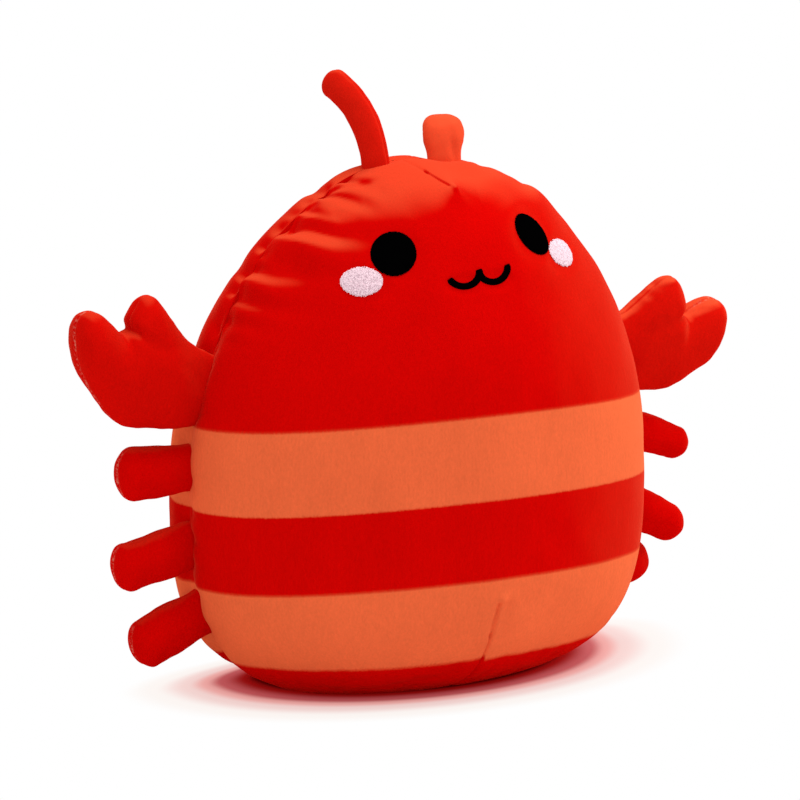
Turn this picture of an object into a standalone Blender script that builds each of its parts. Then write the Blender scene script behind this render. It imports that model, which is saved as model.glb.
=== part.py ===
"""Plush lobster: a stuffed toy sewn from a front and a back panel, with its limbs caught in the side seam.

Metres, +Z up. The face looks along -Y, and the origin is on the flat patch the toy sits on, just in front of
the seam that crosses it.
"""
import math

import bmesh
import bpy
from mathutils import Vector

# Body form, measured over the fabric
BODY_HEIGHT = 0.213
BODY_HALF_WIDTH = 0.0995
FRONT_DEPTH = 0.077
BACK_DEPTH = 0.078
WIDEST_HEIGHT = 0.0946
DEEPEST_HEIGHT = 0.0592
SITTING_SINK = 0.003
SEAM_SETBACK = 0.002
CROWN_LEAN = 0.008
FRONT_CROWN_FULLNESS = 0.09
BACK_CROWN_SLACK = 0.22
SIDE_FULLNESS = 1.94

# How each profile closes: power and root towards the crown, then towards the base
WIDTH_CLOSING = (1.74, 1.99, 3.66, 3.09)
DEPTH_CLOSING = (2.37, 1.87, 3.29, 1.5)

# Fabric, seam and filling
FABRIC_THICKNESS = 0.002
SEAM_GAP = 0.0003
FILLING_CLEARANCE = 0.0004
LIMB_CLEARANCE = 0.0003
PATCH_CLEARANCE = 0.0003
SEAM_DIP = 0.0028
SEAM_DIP_REACH = 0.006
PUCKER_DEPTH = 0.0007
PUCKER_REACH = 0.016
PUCKER_PITCH = 0.017

# Darts on the centre line, front and back alike
DART_DEPTH = 0.0018
DART_REACH = 0.012
CROWN_DART_LENGTH = 0.016
BASE_DART_LENGTH = 0.043
BASE_DART_SHARE = 0.5

# Printed stripes: heights of their edges at the side seam, from the floor up, and how far they arch in the middle
STRIPE_EDGES = (0.0175, 0.0489, 0.0803, 0.1129)
STRIPE_ARCH = 0.0075
ARCH_BASE_POWER = 13
ARCH_CROWN_POWER = 6

# Mesh fineness: the body's columns and rows, then sides and rings of the other stuffed and sewn pieces
HALF_COLUMNS = 24
FILLING_HALF_COLUMNS = 12
ROWS_PER_BAND = 4
CROWN_ROWS = 12
BASE_CROWDING = 1.7
LEG_FACETS = (12, 12)
ANTENNA_FACETS = (10, 14)
EYE_FACETS = (14, 6)
CHEEK_FACETS = (12, 6)
MOUTH_FACETS = (6, 14)
CLAW_SMOOTHING = 2

# Small steps for working out directions, and how near a point of a unit sphere is to the seam, to its axis, or
# a height to a stripe's edge, to count as on it
TURN_STEP = 0.01
HEIGHT_STEP = 0.0005
SURFACE_STEP = 0.0004
LINE_STEP = 0.01
ON_SEAM = 0.001
ON_AXIS = 0.000001
ON_EDGE = 0.000001

# Legs: side, height of the root on the seam, reach beyond it, half width at root and tip, droop and backward swing
LEGS = {
    "left_upper_leg": (-1, 0.0958, 0.0278, 0.0102, 0.0106, 0, 0),
    "left_middle_leg": (-1, 0.0640, 0.0306, 0.0106, 0.0098, 12, 0),
    "left_lower_leg": (-1, 0.0362, 0.0290, 0.0106, 0.0100, 23, 0),
    "right_upper_leg": (1, 0.0922, 0.0308, 0.0100, 0.0081, 20, 0),
    "right_middle_leg": (1, 0.0607, 0.0311, 0.0102, 0.0090, 26, 0),
    "right_lower_leg": (1, 0.0360, 0.0250, 0.0104, 0.0092, 12, 32),
}
LEG_THICKNESS_SHARE = 0.82
LEG_END_SHARE = 0.68
LIMB_ROOT_DEPTH = 0.018

# Antennae: side, root's distance from the centre line, half width across the bend at root and tip, height of the
# bend above the root, where the tip ends from the root (outward, back, up), and thickness as a share of the width
ANTENNAE = {
    "left_antenna": (-1, 0.0168, 0.0050, 0.0051, 0.0200, (0.0110, 0.0215, 0.0306), 1.2),
    "right_antenna": (1, 0.0130, 0.0067, 0.0083, 0.0134, (0.0105, 0.0225, 0.0048), 0.8),
}
ANTENNA_ROOT_DEPTH = 0.010
ANTENNA_END_SHARE = 0.9

# Claws: root height on the seam and thickness
CLAW_ROOT_HEIGHT = 0.1270
CLAW_THICKNESS = 0.027
# Side, drop of the root, how much deeper it is sewn in, forward lean, upward turn and backward swing of each claw
CLAWS = {
    "left_claw": (-1, 0.0, 0.0, 0.0, 2.0, 0.0),
    "right_claw": (1, 0.0042, 0.0070, 8.5, -15.5, 5.2),
}
# Cage of the mitten, outward and up from its root, as pairs below and above: root, thumb, notch, finger
CLAW_CAGE = (
    ((-0.020, -0.0145), (-0.020, 0.0120)),
    ((0.010, -0.0170), (0.006, 0.0180)),
    ((0.021, -0.0168), (0.0175, 0.0445)),
    ((0.028, -0.0155), (0.0275, 0.0365)),
    ((0.033, -0.0130), (0.0300, 0.0200)),
    ((0.0405, -0.0045), (0.0415, 0.0375)),
    ((0.0495, 0.0090), (0.0535, 0.0315)),
)

# Face: its offset from the centre line, how far it is turned as rise over run, and each piece's distance from
# the middle of the face and below the crown
FACE_OFFSET = -0.0007
FACE_TILT = 0.04
EYE_SPREAD = 0.0306
CROWN_TO_EYES = 0.0305
EYE_RADIUS = 0.0089
CHEEK_SPREAD = 0.0441
CROWN_TO_CHEEKS = 0.0400
CHEEK_HALF_WIDTH = 0.0086
CHEEK_HALF_HEIGHT = 0.0058
CROWN_TO_MOUTH = 0.0392
MOUTH_ARC_RADIUS = 0.0066
MOUTH_HALF_STROKE = 0.0013
MOUTH_OVERLAP_SHARE = 0.55
MOUTH_END_ROUNDING = 3.2
MOUTH_LIFT_SHARE = 0.6
MOUTH_DOME_SHARE = 0.5

# Embroidery: how far it stands above the fabric, the share of that at its edge, and how its dome rises
PATCH_THICKNESS = 0.0012
PATCH_EDGE_SHARE = 0.25
PATCH_DOME_POWER = 0.6
PATCH_UNDERSIDE = -0.25

RED = (0.60, 0.006, 0.004, 1.0)
CORAL = (0.80, 0.140, 0.050, 1.0)
BLACK = (0.010, 0.010, 0.012, 1.0)
BLUSH = (0.86, 0.66, 0.60, 1.0)
FIBRE_WHITE = (0.85, 0.85, 0.84, 1.0)


def cloth(name, colour, roughness, metallic=0.0):
    """A plain material with the colour and roughness of one fabric or thread."""
    material = bpy.data.materials.new(name)
    material.use_nodes = True
    shader = material.node_tree.nodes["Principled BSDF"]
    shader.inputs["Base Color"].default_value = colour
    shader.inputs["Roughness"].default_value = roughness
    shader.inputs["Metallic"].default_value = metallic
    return material


def closing(height, fullest, powers):
    """Share of the full size left at a height: 1 at the fullest, 0 at the crown and a little below the floor."""
    crown_power, crown_root, base_power, base_root = powers
    if height > fullest:
        share = min(1.0, (height - fullest) / (BODY_HEIGHT - fullest))
        return max(0.0, 1 - share ** crown_power) ** (1 / crown_root)
    share = max(0.0, (fullest - height) / (fullest + SITTING_SINK))
    return max(0.0, 1 - share ** base_power) ** (1 / base_root)


def half_width(height):
    return BODY_HALF_WIDTH * closing(height, WIDEST_HEIGHT, WIDTH_CLOSING)


def depth(height, back):
    """Depth from the seam to the front or the back: towards the crown the front is the fuller of the two."""
    rise = (height / BODY_HEIGHT) ** 2
    if back:
        full = BACK_DEPTH * (1 - BACK_CROWN_SLACK * rise)
    else:
        full = FRONT_DEPTH * (1 + FRONT_CROWN_FULLNESS * rise)
    return full * closing(height, DEEPEST_HEIGHT, DEPTH_CLOSING)


def seam_y(height):
    """The seam leans forward a little towards the crown."""
    return SEAM_SETBACK - CROWN_LEAN * (height / BODY_HEIGHT) ** 2


def arch(height):
    """How far a printed line at this height rises between the seam and the centre line."""
    share = min(1.0, max(0.0, height / BODY_HEIGHT))
    return STRIPE_ARCH * (1 - (1 - share) ** ARCH_BASE_POWER) * (1 - share ** ARCH_CROWN_POWER)


def smooth_body_point(azimuth, row_height):
    """Point on the body without seams: azimuth 0 and pi lie on the seam, and -pi/2 is the front."""
    across = abs(math.cos(azimuth)) ** (2 / SIDE_FULLNESS)
    out = abs(math.sin(azimuth)) ** (2 / SIDE_FULLNESS)
    height = min(BODY_HEIGHT, row_height + arch(row_height) * (1 - across ** 2))
    x = math.copysign(half_width(height) * across, math.cos(azimuth))
    y = math.copysign(depth(height, math.sin(azimuth) > 0) * out, math.sin(azimuth))
    return Vector((x, seam_y(height) + y, height))


def body_normal(azimuth, row_height):
    """Outward direction of the body at a point."""
    low, high = max(0.0, row_height - HEIGHT_STEP), min(BODY_HEIGHT, row_height + HEIGHT_STEP)
    right = smooth_body_point(azimuth + TURN_STEP, row_height)
    left = smooth_body_point(azimuth - TURN_STEP, row_height)
    upwards = smooth_body_point(azimuth, high) - smooth_body_point(azimuth, low)
    return (right - left).cross(upwards).normalized()


def sewn_dip(point):
    """How far stitching pulls the fabric in at a point: the side seam, its puckers and the darts."""
    from_seam = abs(point.y - seam_y(point.z))
    dip = SEAM_DIP * math.exp(-((from_seam / SEAM_DIP_REACH) ** 2))
    around = math.hypot(point.x, point.z - WIDEST_HEIGHT)
    along = math.atan2(point.x, point.z - WIDEST_HEIGHT) * around
    wave = 0.5 + 0.5 * math.cos(2 * math.pi * along / PUCKER_PITCH)
    dip += PUCKER_DEPTH * wave * math.exp(-((from_seam / PUCKER_REACH) ** 2))
    crease = math.exp(-((point.x / DART_REACH) ** 2))
    crown_share = 1 - (BODY_HEIGHT - point.z) / CROWN_DART_LENGTH
    base_share = point.z / BASE_DART_LENGTH
    dart = max(0.0, crown_share) + max(0.0, 4 * base_share * (1 - base_share) * BASE_DART_SHARE)
    return dip + DART_DEPTH * crease * min(1.0, dart)


def row_heights():
    """Heights of the rows of the body mesh, with a row on each edge of a stripe."""
    heights = [0.0, 0.0]
    for step in range(1, ROWS_PER_BAND + 1):
        heights.append(STRIPE_EDGES[0] * (step / ROWS_PER_BAND) ** BASE_CROWDING)
    for low, high in zip(STRIPE_EDGES, STRIPE_EDGES[1:]):
        for step in range(1, ROWS_PER_BAND + 1):
            heights.append(low + (high - low) * step / ROWS_PER_BAND)
    for step in range(1, CROWN_ROWS + 1):
        rise = math.sin(step / CROWN_ROWS * math.pi / 2)
        heights.append(STRIPE_EDGES[-1] + (BODY_HEIGHT - STRIPE_EDGES[-1]) * rise)
    return heights


def body_point(unit, inset, seam_side):
    """Where a point of a unit sphere lies on the sewn body, moved in by an inset from the fabric's face."""
    heights = row_heights()
    last = len(heights) - 1
    row = round(math.acos(max(-1.0, min(1.0, -unit.z))) / math.pi * last)
    if row in (0, last):
        crown = Vector((0.0, seam_y(BODY_HEIGHT), BODY_HEIGHT))
        height = inset if row == 0 else BODY_HEIGHT - inset - sewn_dip(crown)
        return Vector((0.0, seam_y(height) + seam_side * SEAM_GAP / 2, height))
    azimuth = math.atan2(unit.y, unit.x)
    point = smooth_body_point(azimuth, heights[row])
    pulled = point - body_normal(azimuth, heights[row]) * (inset + sewn_dip(point))
    pulled.z = inset if row == 1 else max(inset, pulled.z)
    if abs(unit.y) < ON_SEAM:
        pulled.y = seam_y(pulled.z) + seam_side * SEAM_GAP / 2
    return pulled


def face_row(face_units):
    """Height of the band that a face of the body lies in, from the unit points of its corners."""
    heights = row_heights()
    last = len(heights) - 1
    rows = [math.acos(max(-1.0, min(1.0, -unit.z))) / math.pi * last for unit in face_units]
    middle = sum(rows) / len(rows)
    return heights[min(last - 1, max(0, int(middle)))]


def in_coral_stripe(height):
    low_start, low_end, high_start, high_end = (edge - ON_EDGE for edge in STRIPE_EDGES)
    return low_start <= height < low_end or high_start <= height < high_end


def new_object(name, mesh_source, collection, materials):
    """Turn a bmesh into an object with its faces pointing out and its round surfaces smooth."""
    bmesh.ops.recalc_face_normals(mesh_source, faces=mesh_source.faces)
    mesh = bpy.data.meshes.new(name)
    mesh_source.to_mesh(mesh)
    mesh_source.free()
    for material in materials:
        mesh.materials.append(material)
    mesh.shade_smooth()
    made = bpy.data.objects.new(name, mesh)
    collection.objects.link(made)
    return made


def unit_sphere(columns, rows):
    made = bmesh.new()
    bmesh.ops.create_uvsphere(made, u_segments=columns, v_segments=rows, radius=1.0)
    return made


def body_panel(name, seam_side, collection, materials):
    """One fabric panel: the outer face, the inner face and the raw edge along the seam."""
    panel = unit_sphere(2 * HALF_COLUMNS, len(row_heights()) - 1)
    beyond = [vertex for vertex in panel.verts if vertex.co.y * seam_side < -ON_SEAM]
    bmesh.ops.delete(panel, geom=beyond, context="VERTS")
    outer = list(panel.verts)
    faces = list(panel.faces)
    for face in faces:
        face.material_index = int(in_coral_stripe(face_row([vertex.co for vertex in face.verts])))
    rim = [edge for edge in panel.edges if edge.is_boundary]
    whole = list(panel.verts) + list(panel.edges) + list(panel.faces)
    copied = bmesh.ops.duplicate(panel, geom=whole)["geom"]
    inner = [item for item in copied if isinstance(item, bmesh.types.BMVert)]
    inner_faces = [item for item in copied if isinstance(item, bmesh.types.BMFace)]
    bmesh.ops.reverse_faces(panel, faces=inner_faces)
    inner_rim = [item for item in copied if isinstance(item, bmesh.types.BMEdge) and item.is_boundary]
    placed = [(vertex, body_point(vertex.co, 0.0, seam_side)) for vertex in outer]
    placed += [(vertex, body_point(vertex.co, FABRIC_THICKNESS, seam_side)) for vertex in inner]
    for vertex, place in placed:
        vertex.co = place
    bmesh.ops.bridge_loops(panel, edges=rim + inner_rim)
    return new_object(name, panel, collection, materials)


def whole_body(name, inset, half_columns, collection, materials):
    """A closed solid of the whole body, such as its filling, at an inset from the fabric's face."""
    solid = unit_sphere(2 * half_columns, len(row_heights()) - 1)
    for vertex in solid.verts:
        vertex.co = body_point(vertex.co, inset, 0)
    return new_object(name, solid, collection, materials)


def limb_trimmer(collection):
    """The space that the body takes, with the clearance that every limb keeps to it."""
    trimmer = whole_body("body_space", -LIMB_CLEARANCE, HALF_COLUMNS, collection, [])
    trimmer.hide_render = True
    trimmer.display_type = "WIRE"
    return trimmer


def trim_to_body(limb, trimmer):
    cut = limb.modifiers.new("sewn against the body", "BOOLEAN")
    cut.operation = "DIFFERENCE"
    cut.object = trimmer


def round_ends(share, length, root_radius, tip_radius, end_share):
    """Radius of a stuffed tube at a share of its length, closed at both ends over this share of its half width."""
    blend = share * share * (3 - 2 * share)
    radius = root_radius + (tip_radius - root_radius) * blend
    to_tip = (1 - share) * length / (tip_radius * end_share)
    to_root = share * length / (root_radius * end_share)
    for rounding in (to_tip, to_root):
        if rounding < 1:
            radius *= math.sqrt(max(0.0, 1 - (1 - rounding) ** 2))
    return radius


def stuffed_tube(name, centre_line, wide, radii, shares, sides, rings, collection, material):
    """A stuffed tube along a centre line, flat across the wide direction, with its thickness and the rounding of
    its ends as shares of its width."""
    thickness_share, end_share = shares
    tube = unit_sphere(sides, rings)
    length = sum((centre_line((i + 1) / rings) - centre_line(i / rings)).length for i in range(rings))
    for vertex in tube.verts:
        unit = vertex.co.copy()
        share = (1 - max(-1.0, min(1.0, unit.z))) / 2
        ahead = centre_line(min(1.0, share + LINE_STEP)) - centre_line(max(0.0, share - LINE_STEP))
        thick = ahead.normalized().cross(wide)
        radius = round_ends(share, length, *radii, end_share)
        flat = math.hypot(unit.x, unit.y)
        place = centre_line(share)
        if flat > ON_AXIS:
            place += wide * (radius * unit.x / flat) + thick * (radius * thickness_share * unit.y / flat)
        vertex.co = place
    return new_object(name, tube, collection, [material])


def leg(name, side, height, reach, root_half, tip_half, droop, swing, collection, material, trimmer):
    """A stuffed stub that points outward from the side seam, drooping and swung back by its own angles."""
    down, back = math.radians(droop), math.radians(swing)
    outward = Vector((side * math.cos(down) * math.cos(back), math.cos(down) * math.sin(back), -math.sin(down)))
    seam = Vector((side * half_width(height), seam_y(height), height))
    start = seam - outward * LIMB_ROOT_DEPTH
    end = seam + outward * reach
    wide = Vector((0, 1, 0)).cross(outward).normalized()
    made = stuffed_tube(name, lambda share: start.lerp(end, share), wide, (root_half, tip_half),
                        (LEG_THICKNESS_SHARE, LEG_END_SHARE), *LEG_FACETS, collection, material)
    trim_to_body(made, trimmer)
    return made


def antenna(name, side, offset, root_half, tip_half, bend_height, tip_offset, thickness_share, collection,
            material, trimmer):
    """A slim stuffed tube that rises from the crown seam and bends outward and back."""
    outward, back, up = tip_offset
    height = BODY_HEIGHT
    while half_width(height) < offset:
        height -= SURFACE_STEP
    root = Vector((side * offset, seam_y(height), height))
    start = root - Vector((0, 0, ANTENNA_ROOT_DEPTH))
    bend = root + Vector((0, 0, bend_height))
    tip = root + Vector((side * outward, back, up))

    def centre_line(share):
        return start.lerp(bend, share).lerp(bend.lerp(tip, share), share)

    wide = (bend - start).cross(tip - bend).normalized()
    made = stuffed_tube(name, centre_line, wide, (root_half, tip_half),
                        (thickness_share, ANTENNA_END_SHARE), *ANTENNA_FACETS, collection, material)
    trim_to_body(made, trimmer)
    return made


def claw(name, side, drop, tuck, lean, turn, swing, collection, material, trimmer):
    """A stuffed mitten with a thumb and a finger, flat in the seam's plane."""
    columns = len(CLAW_CAGE) - 1
    cage = bmesh.new()
    bmesh.ops.create_grid(cage, x_segments=columns, y_segments=1, size=1.0)
    for vertex in cage.verts:
        column = round((vertex.co.x + 1) / 2 * columns)
        outward, up = CLAW_CAGE[column][1 if vertex.co.y > 0 else 0]
        vertex.co = Vector((side * outward, 0, up))
    made = new_object(name, cage, collection, [material])
    height = CLAW_ROOT_HEIGHT - drop
    made.location = (side * (half_width(height) - tuck), seam_y(height), height)
    made.rotation_euler = (math.radians(lean), -side * math.radians(turn), side * math.radians(swing))
    stuffed = made.modifiers.new("stuffed", "SOLIDIFY")
    stuffed.thickness = CLAW_THICKNESS
    stuffed.offset = 0.0
    rounded = made.modifiers.new("rounded", "SUBSURF")
    rounded.levels = CLAW_SMOOTHING
    rounded.render_levels = CLAW_SMOOTHING
    trim_to_body(made, trimmer)
    return made


def front_point(x, z, lift):
    """Point above the front panel at a place on the face, at a lift from the smooth fabric."""
    def surface(x, z):
        inside = max(0.0, 1 - (abs(x) / half_width(z)) ** SIDE_FULLNESS)
        return Vector((x, seam_y(z) - depth(z, False) * inside ** (1 / SIDE_FULLNESS), z))

    sideways = surface(x + SURFACE_STEP, z) - surface(x - SURFACE_STEP, z)
    upwards = surface(x, z + SURFACE_STEP) - surface(x, z - SURFACE_STEP)
    return surface(x, z) + sideways.cross(upwards).normalized() * lift


def face_frame(x, height):
    """Place on the front at a height and a distance from the middle of the face, and its directions on the fabric."""
    z = height + x * FACE_TILT
    x += FACE_OFFSET
    centre = front_point(x, z, 0.0)
    across = (front_point(x + SURFACE_STEP, z, 0.0) - centre).normalized()
    outward = (front_point(x, z, SURFACE_STEP) - centre).normalized()
    return centre, across, outward.cross(across)


def raised_patch(name, x, below_crown, half_across, half_up, facets, collection, material):
    """An embroidered oval: domed on top, and following the fabric underneath at a small clearance."""
    patch = unit_sphere(*facets)
    centre, across, up = face_frame(x, BODY_HEIGHT - below_crown)
    for vertex in patch.verts:
        unit = vertex.co.copy()
        aim = centre + across * (unit.x * half_across) + up * (unit.y * half_up)
        lift = PATCH_CLEARANCE
        if unit.z > PATCH_UNDERSIDE:
            lift += PATCH_THICKNESS * (PATCH_EDGE_SHARE + max(0.0, unit.z) ** PATCH_DOME_POWER)
        vertex.co = front_point(aim.x, aim.z, lift)
    return new_object(name, patch, collection, [material])


def mouth_arc(name, side, collection, material):
    """One of the two arcs that make the mouth: a thick line of stitches in a half circle."""
    arc = unit_sphere(*MOUTH_FACETS)
    centre, across, up = face_frame(0.0, BODY_HEIGHT - CROWN_TO_MOUTH)
    overlap = MOUTH_HALF_STROKE * MOUTH_OVERLAP_SHARE
    for vertex in arc.verts:
        unit = vertex.co.copy()
        share = math.acos(max(-1.0, min(1.0, unit.z))) / math.pi
        swing = math.pi * (1 + share)
        flat = math.hypot(unit.x, unit.y)
        end = min(1.0, MOUTH_END_ROUNDING * math.sin(math.pi * share)) if flat > ON_AXIS else 0.0
        ray = MOUTH_ARC_RADIUS + end * MOUTH_HALF_STROKE * (unit.x / flat if flat > ON_AXIS else 0.0)
        raised = end * MOUTH_DOME_SHARE * (unit.y / flat if flat > ON_AXIS else 0.0)
        middle = side * (MOUTH_ARC_RADIUS - overlap)
        aim = centre + across * (middle + ray * math.cos(swing)) + up * (ray * math.sin(swing))
        vertex.co = front_point(aim.x, aim.z, PATCH_CLEARANCE + PATCH_THICKNESS * (MOUTH_LIFT_SHARE + raised))
    return new_object(name, arc, collection, [material])


def mouth(collection, guides, material):
    """The mouth: two arcs that meet in the middle, joined into one piece of stitching."""
    left_half = mouth_arc("mouth", -1, collection, material)
    right_half = mouth_arc("mouth_right_half", 1, guides, material)
    right_half.hide_render = True
    right_half.display_type = "WIRE"
    joined = left_half.modifiers.new("joined in the middle", "BOOLEAN")
    joined.operation = "UNION"
    joined.object = right_half
    return left_half


def clear_scene():
    for leftover in list(bpy.data.objects):
        bpy.data.objects.remove(leftover)


def build():
    clear_scene()
    lobster = bpy.data.collections.new("plush_lobster")
    cutters = bpy.data.collections.new("cutters")
    bpy.context.scene.collection.children.link(lobster)
    bpy.context.scene.collection.children.link(cutters)
    red = cloth("red_short_pile", RED, 0.85)
    coral = cloth("coral_short_pile", CORAL, 0.85)
    black = cloth("black_thread", BLACK, 0.5)
    blush = cloth("blush_thread", BLUSH, 0.5)
    fibre = cloth("polyester_fibre", FIBRE_WHITE, 0.95)

    pieces = [
        body_panel("front_panel", -1, lobster, [red, coral]),
        body_panel("back_panel", 1, lobster, [red, coral]),
        whole_body("filling", FABRIC_THICKNESS + FILLING_CLEARANCE, FILLING_HALF_COLUMNS, lobster, [fibre]),
    ]
    trimmer = limb_trimmer(cutters)
    for name, sizes in LEGS.items():
        pieces.append(leg(name, *sizes, lobster, red, trimmer))
    for name, sizes in ANTENNAE.items():
        pieces.append(antenna(name, *sizes, lobster, red, trimmer))
    for name, sizes in CLAWS.items():
        pieces.append(claw(name, *sizes, lobster, red, trimmer))
    for side, side_name in ((-1, "left"), (1, "right")):
        pieces.append(raised_patch(f"{side_name}_eye", side * EYE_SPREAD, CROWN_TO_EYES,
                                   EYE_RADIUS, EYE_RADIUS, EYE_FACETS, lobster, black))
        pieces.append(raised_patch(f"{side_name}_cheek", side * CHEEK_SPREAD, CROWN_TO_CHEEKS,
                                   CHEEK_HALF_WIDTH, CHEEK_HALF_HEIGHT, CHEEK_FACETS, lobster, blush))
    pieces.append(mouth(lobster, cutters, black))

    toy = bpy.data.objects.new("plush_lobster", None)
    lobster.objects.link(toy)
    for piece in pieces:
        piece.parent = toy


build()
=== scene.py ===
"""Looks of the plush lobster: sewn velvety covers, stuffed limbs, embroidered face and a plain studio.

Metres, +Z up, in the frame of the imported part. The face looks along -Y.
"""
import math

import bmesh
import bpy
import numpy as np
from bpy.props import FloatProperty, FloatVectorProperty, IntProperty, PointerProperty
from mathutils import Euler, Matrix, Vector, noise
from mathutils.bvhtree import BVHTree


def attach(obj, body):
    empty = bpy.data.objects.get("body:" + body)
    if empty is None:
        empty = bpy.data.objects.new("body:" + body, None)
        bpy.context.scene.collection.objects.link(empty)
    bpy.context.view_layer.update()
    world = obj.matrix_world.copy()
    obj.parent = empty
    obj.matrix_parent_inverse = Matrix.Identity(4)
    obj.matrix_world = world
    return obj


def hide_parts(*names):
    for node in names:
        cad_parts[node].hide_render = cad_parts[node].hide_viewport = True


bl_info = {
    "name": "Plush Lobster",
    "version": (1, 0, 0),
    "blender": (4, 5, 0),
    "location": "3D View > Sidebar > Plush Lobster",
    "description": "Makes a stuffed toy lobster from sewn covers, stuffed limbs and an embroidered face",
    "category": "Object",
}

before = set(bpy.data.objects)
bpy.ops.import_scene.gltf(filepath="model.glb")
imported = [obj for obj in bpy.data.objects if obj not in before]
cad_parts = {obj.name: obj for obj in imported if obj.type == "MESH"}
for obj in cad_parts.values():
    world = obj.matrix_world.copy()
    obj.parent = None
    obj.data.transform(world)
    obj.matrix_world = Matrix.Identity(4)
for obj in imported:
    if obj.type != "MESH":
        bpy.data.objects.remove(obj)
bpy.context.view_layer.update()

# Body form, the same sizes as the solids
BODY_HEIGHT = 0.213
BODY_HALF_WIDTH = 0.0995
FRONT_DEPTH = 0.077
BACK_DEPTH = 0.078
WIDEST_HEIGHT = 0.0946
DEEPEST_HEIGHT = 0.0592
SITTING_SINK = 0.003
SEAM_SETBACK = 0.002
CROWN_LEAN = 0.008
FRONT_CROWN_FULLNESS = 0.09
BACK_CROWN_SLACK = 0.22
SIDE_FULLNESS = 1.94
WIDTH_CLOSING = (1.74, 1.99, 3.66, 3.09)
DEPTH_CLOSING = (2.37, 1.87, 3.29, 1.5)
FABRIC_THICKNESS = 0.002
STRIPE_EDGES = (0.0175, 0.0489, 0.0803, 0.1129)
STRIPE_ARCH = 0.0075
ARCH_BASE_POWER = 13
ARCH_CROWN_POWER = 6

# Legs, as the solids but with the two right ones that show slimmer at the tip: side, height of the root on
# the seam, reach beyond it, half width at root and tip, droop and backward swing
LEGS = {
    "left_upper_leg": (-1, 0.0958, 0.0278, 0.0102, 0.0106, 0, 0),
    "left_middle_leg": (-1, 0.0640, 0.0306, 0.0106, 0.0098, 12, 0),
    "left_lower_leg": (-1, 0.0362, 0.0290, 0.0106, 0.0100, 23, 0),
    "right_upper_leg": (1, 0.0922, 0.0308, 0.0100, 0.0068, 21, 0),
    "right_middle_leg": (1, 0.0607, 0.0311, 0.0102, 0.0080, 27, 0),
    "right_lower_leg": (1, 0.0360, 0.0250, 0.0104, 0.0092, 12, 32),
}
LEG_THICKNESS_SHARE = 0.82
LEG_END_SHARES = {-1: 0.68, 1: 0.95}
LEG_FULLNESS = 1.88
LEG_FINENESS = (110, 84)
LIMB_ROOT_DEPTH = 0.018
# How flat a limb is at the seam, and where beyond it that starts and ends
LEG_PINCH = (0.62, -0.002, 0.012)
CLAW_PINCH = (0.60, -0.004, 0.014)
# How much a leg narrows just outside the seam, where, and over what length
LEG_NECK = (0.07, 0.001, 0.006)
# How far from a leg's tip its seam starts to be worn, and is fully so
LEG_WEAR = (0.006, 0.001)

# Antennae: side, root's distance from the centre line, half width across the bend at root and tip, height of
# the bend above the root, where the tip ends from the root (outward, back, up), and thickness as a share of
# the width
ANTENNAE = {
    "left_antenna": (-1, 0.0168, 0.0050, 0.0051, 0.0200, (0.0110, 0.0215, 0.0306), 1.2),
    "right_antenna": (1, 0.0130, 0.0067, 0.0083, 0.0134, (0.0105, 0.0225, 0.0048), 0.8),
}
ANTENNA_ROOT_DEPTH = 0.010
ANTENNA_END_SHARES = {-1: 0.9, 1: 0.62}
ANTENNA_FULLNESS = {-1: 1.92, 1: 2.7}
ANTENNA_FINENESS = (120, 60)
# Shares of an antenna's length: where it grows to its tip's width, gives half of that back, and is worn
ANTENNA_GROWTH = (0.20, 0.52)
ANTENNA_EASING = (0.55, 1.0)
ANTENNA_WEAR = (0.86, 0.95)
ANTENNA_RELIEF = 0.4
# Crease at the root of the right antenna: depth, place outward and up from the root, and half sizes
ANTENNA_CREASE = (0.0013, (0.0022, 0.002), (0.0016, 0.006))
CREASE_FACING = -0.3

# Claws: side, drop of the root, how much deeper it is sewn in, forward lean, upward turn and backward swing
CLAW_ROOT_HEIGHT = 0.1270
CLAW_THICKNESS = 0.027
CLAWS = {
    "left_claw": (-1, 0.0, 0.0, 0.0, 2.0, 0.0),
    "right_claw": (1, 0.0042, 0.0070, 8.5, -15.5, 5.2),
}
CLAW_BOTTOM_LIFT = {-1: 0.0, 1: 0.0030}
CLAW_LIFTED_HEIGHTS = (0.010, -0.012)
CLAW_ROUNDING = 5
CLAW_WEAR = (0.030, 0.044)
# Cage of the mitten, outward and up from its root, as pairs below and above: root, thumb, notch, finger
CLAW_CAGE = (
    ((-0.020, -0.0145), (-0.020, 0.0120)),
    ((0.010, -0.0170), (0.006, 0.0180)),
    ((0.021, -0.0168), (0.0175, 0.0445)),
    ((0.028, -0.0155), (0.0275, 0.0365)),
    ((0.033, -0.0130), (0.0300, 0.0200)),
    ((0.0405, -0.0045), (0.0415, 0.0375)),
    ((0.0495, 0.0090), (0.0535, 0.0315)),
)
# Crease below the notch: where it starts and ends, depth, how much of that fades, and half width at both ends
CLAW_CREASE = ((0.0305, 0.0265), (0.0130, 0.0150))
CLAW_CREASE_DEPTH = 0.0022
CLAW_CREASE_FADE = 0.85
CLAW_CREASE_HALVES = (0.0016, 0.0038)

# Relief of a limb: depth and half width of the seam's groove and of its gathers, their size, that of the
# lumps, height and size of the fine ones, and half width of the worn line
GROOVE = (0.0006, 0.0007)
LIMB_GATHERS = (0.0006, 0.0032)
LIMB_GATHER_SIZE = 0.0062
LIMB_LUMP_SIZE = 0.013
FINE_LUMPS = (0.00022, 0.0045)
WEAR_HALF_WIDTH = 0.0010

# Painted highlight, a warmer and lighter colour where the pile faces the key lamp above: the way it is
# turned, where it starts and is full, and the waver of that line
PAINTED_HIGHLIGHT_WAY = (-0.07, -0.06, 0.99)
PAINTED_HIGHLIGHT_RANGE = (0.72, 0.91)
PAINTED_HIGHLIGHT_WAVER = (0.05, 0.016)
PAINTED_HIGHLIGHT_SEED = 90
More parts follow.
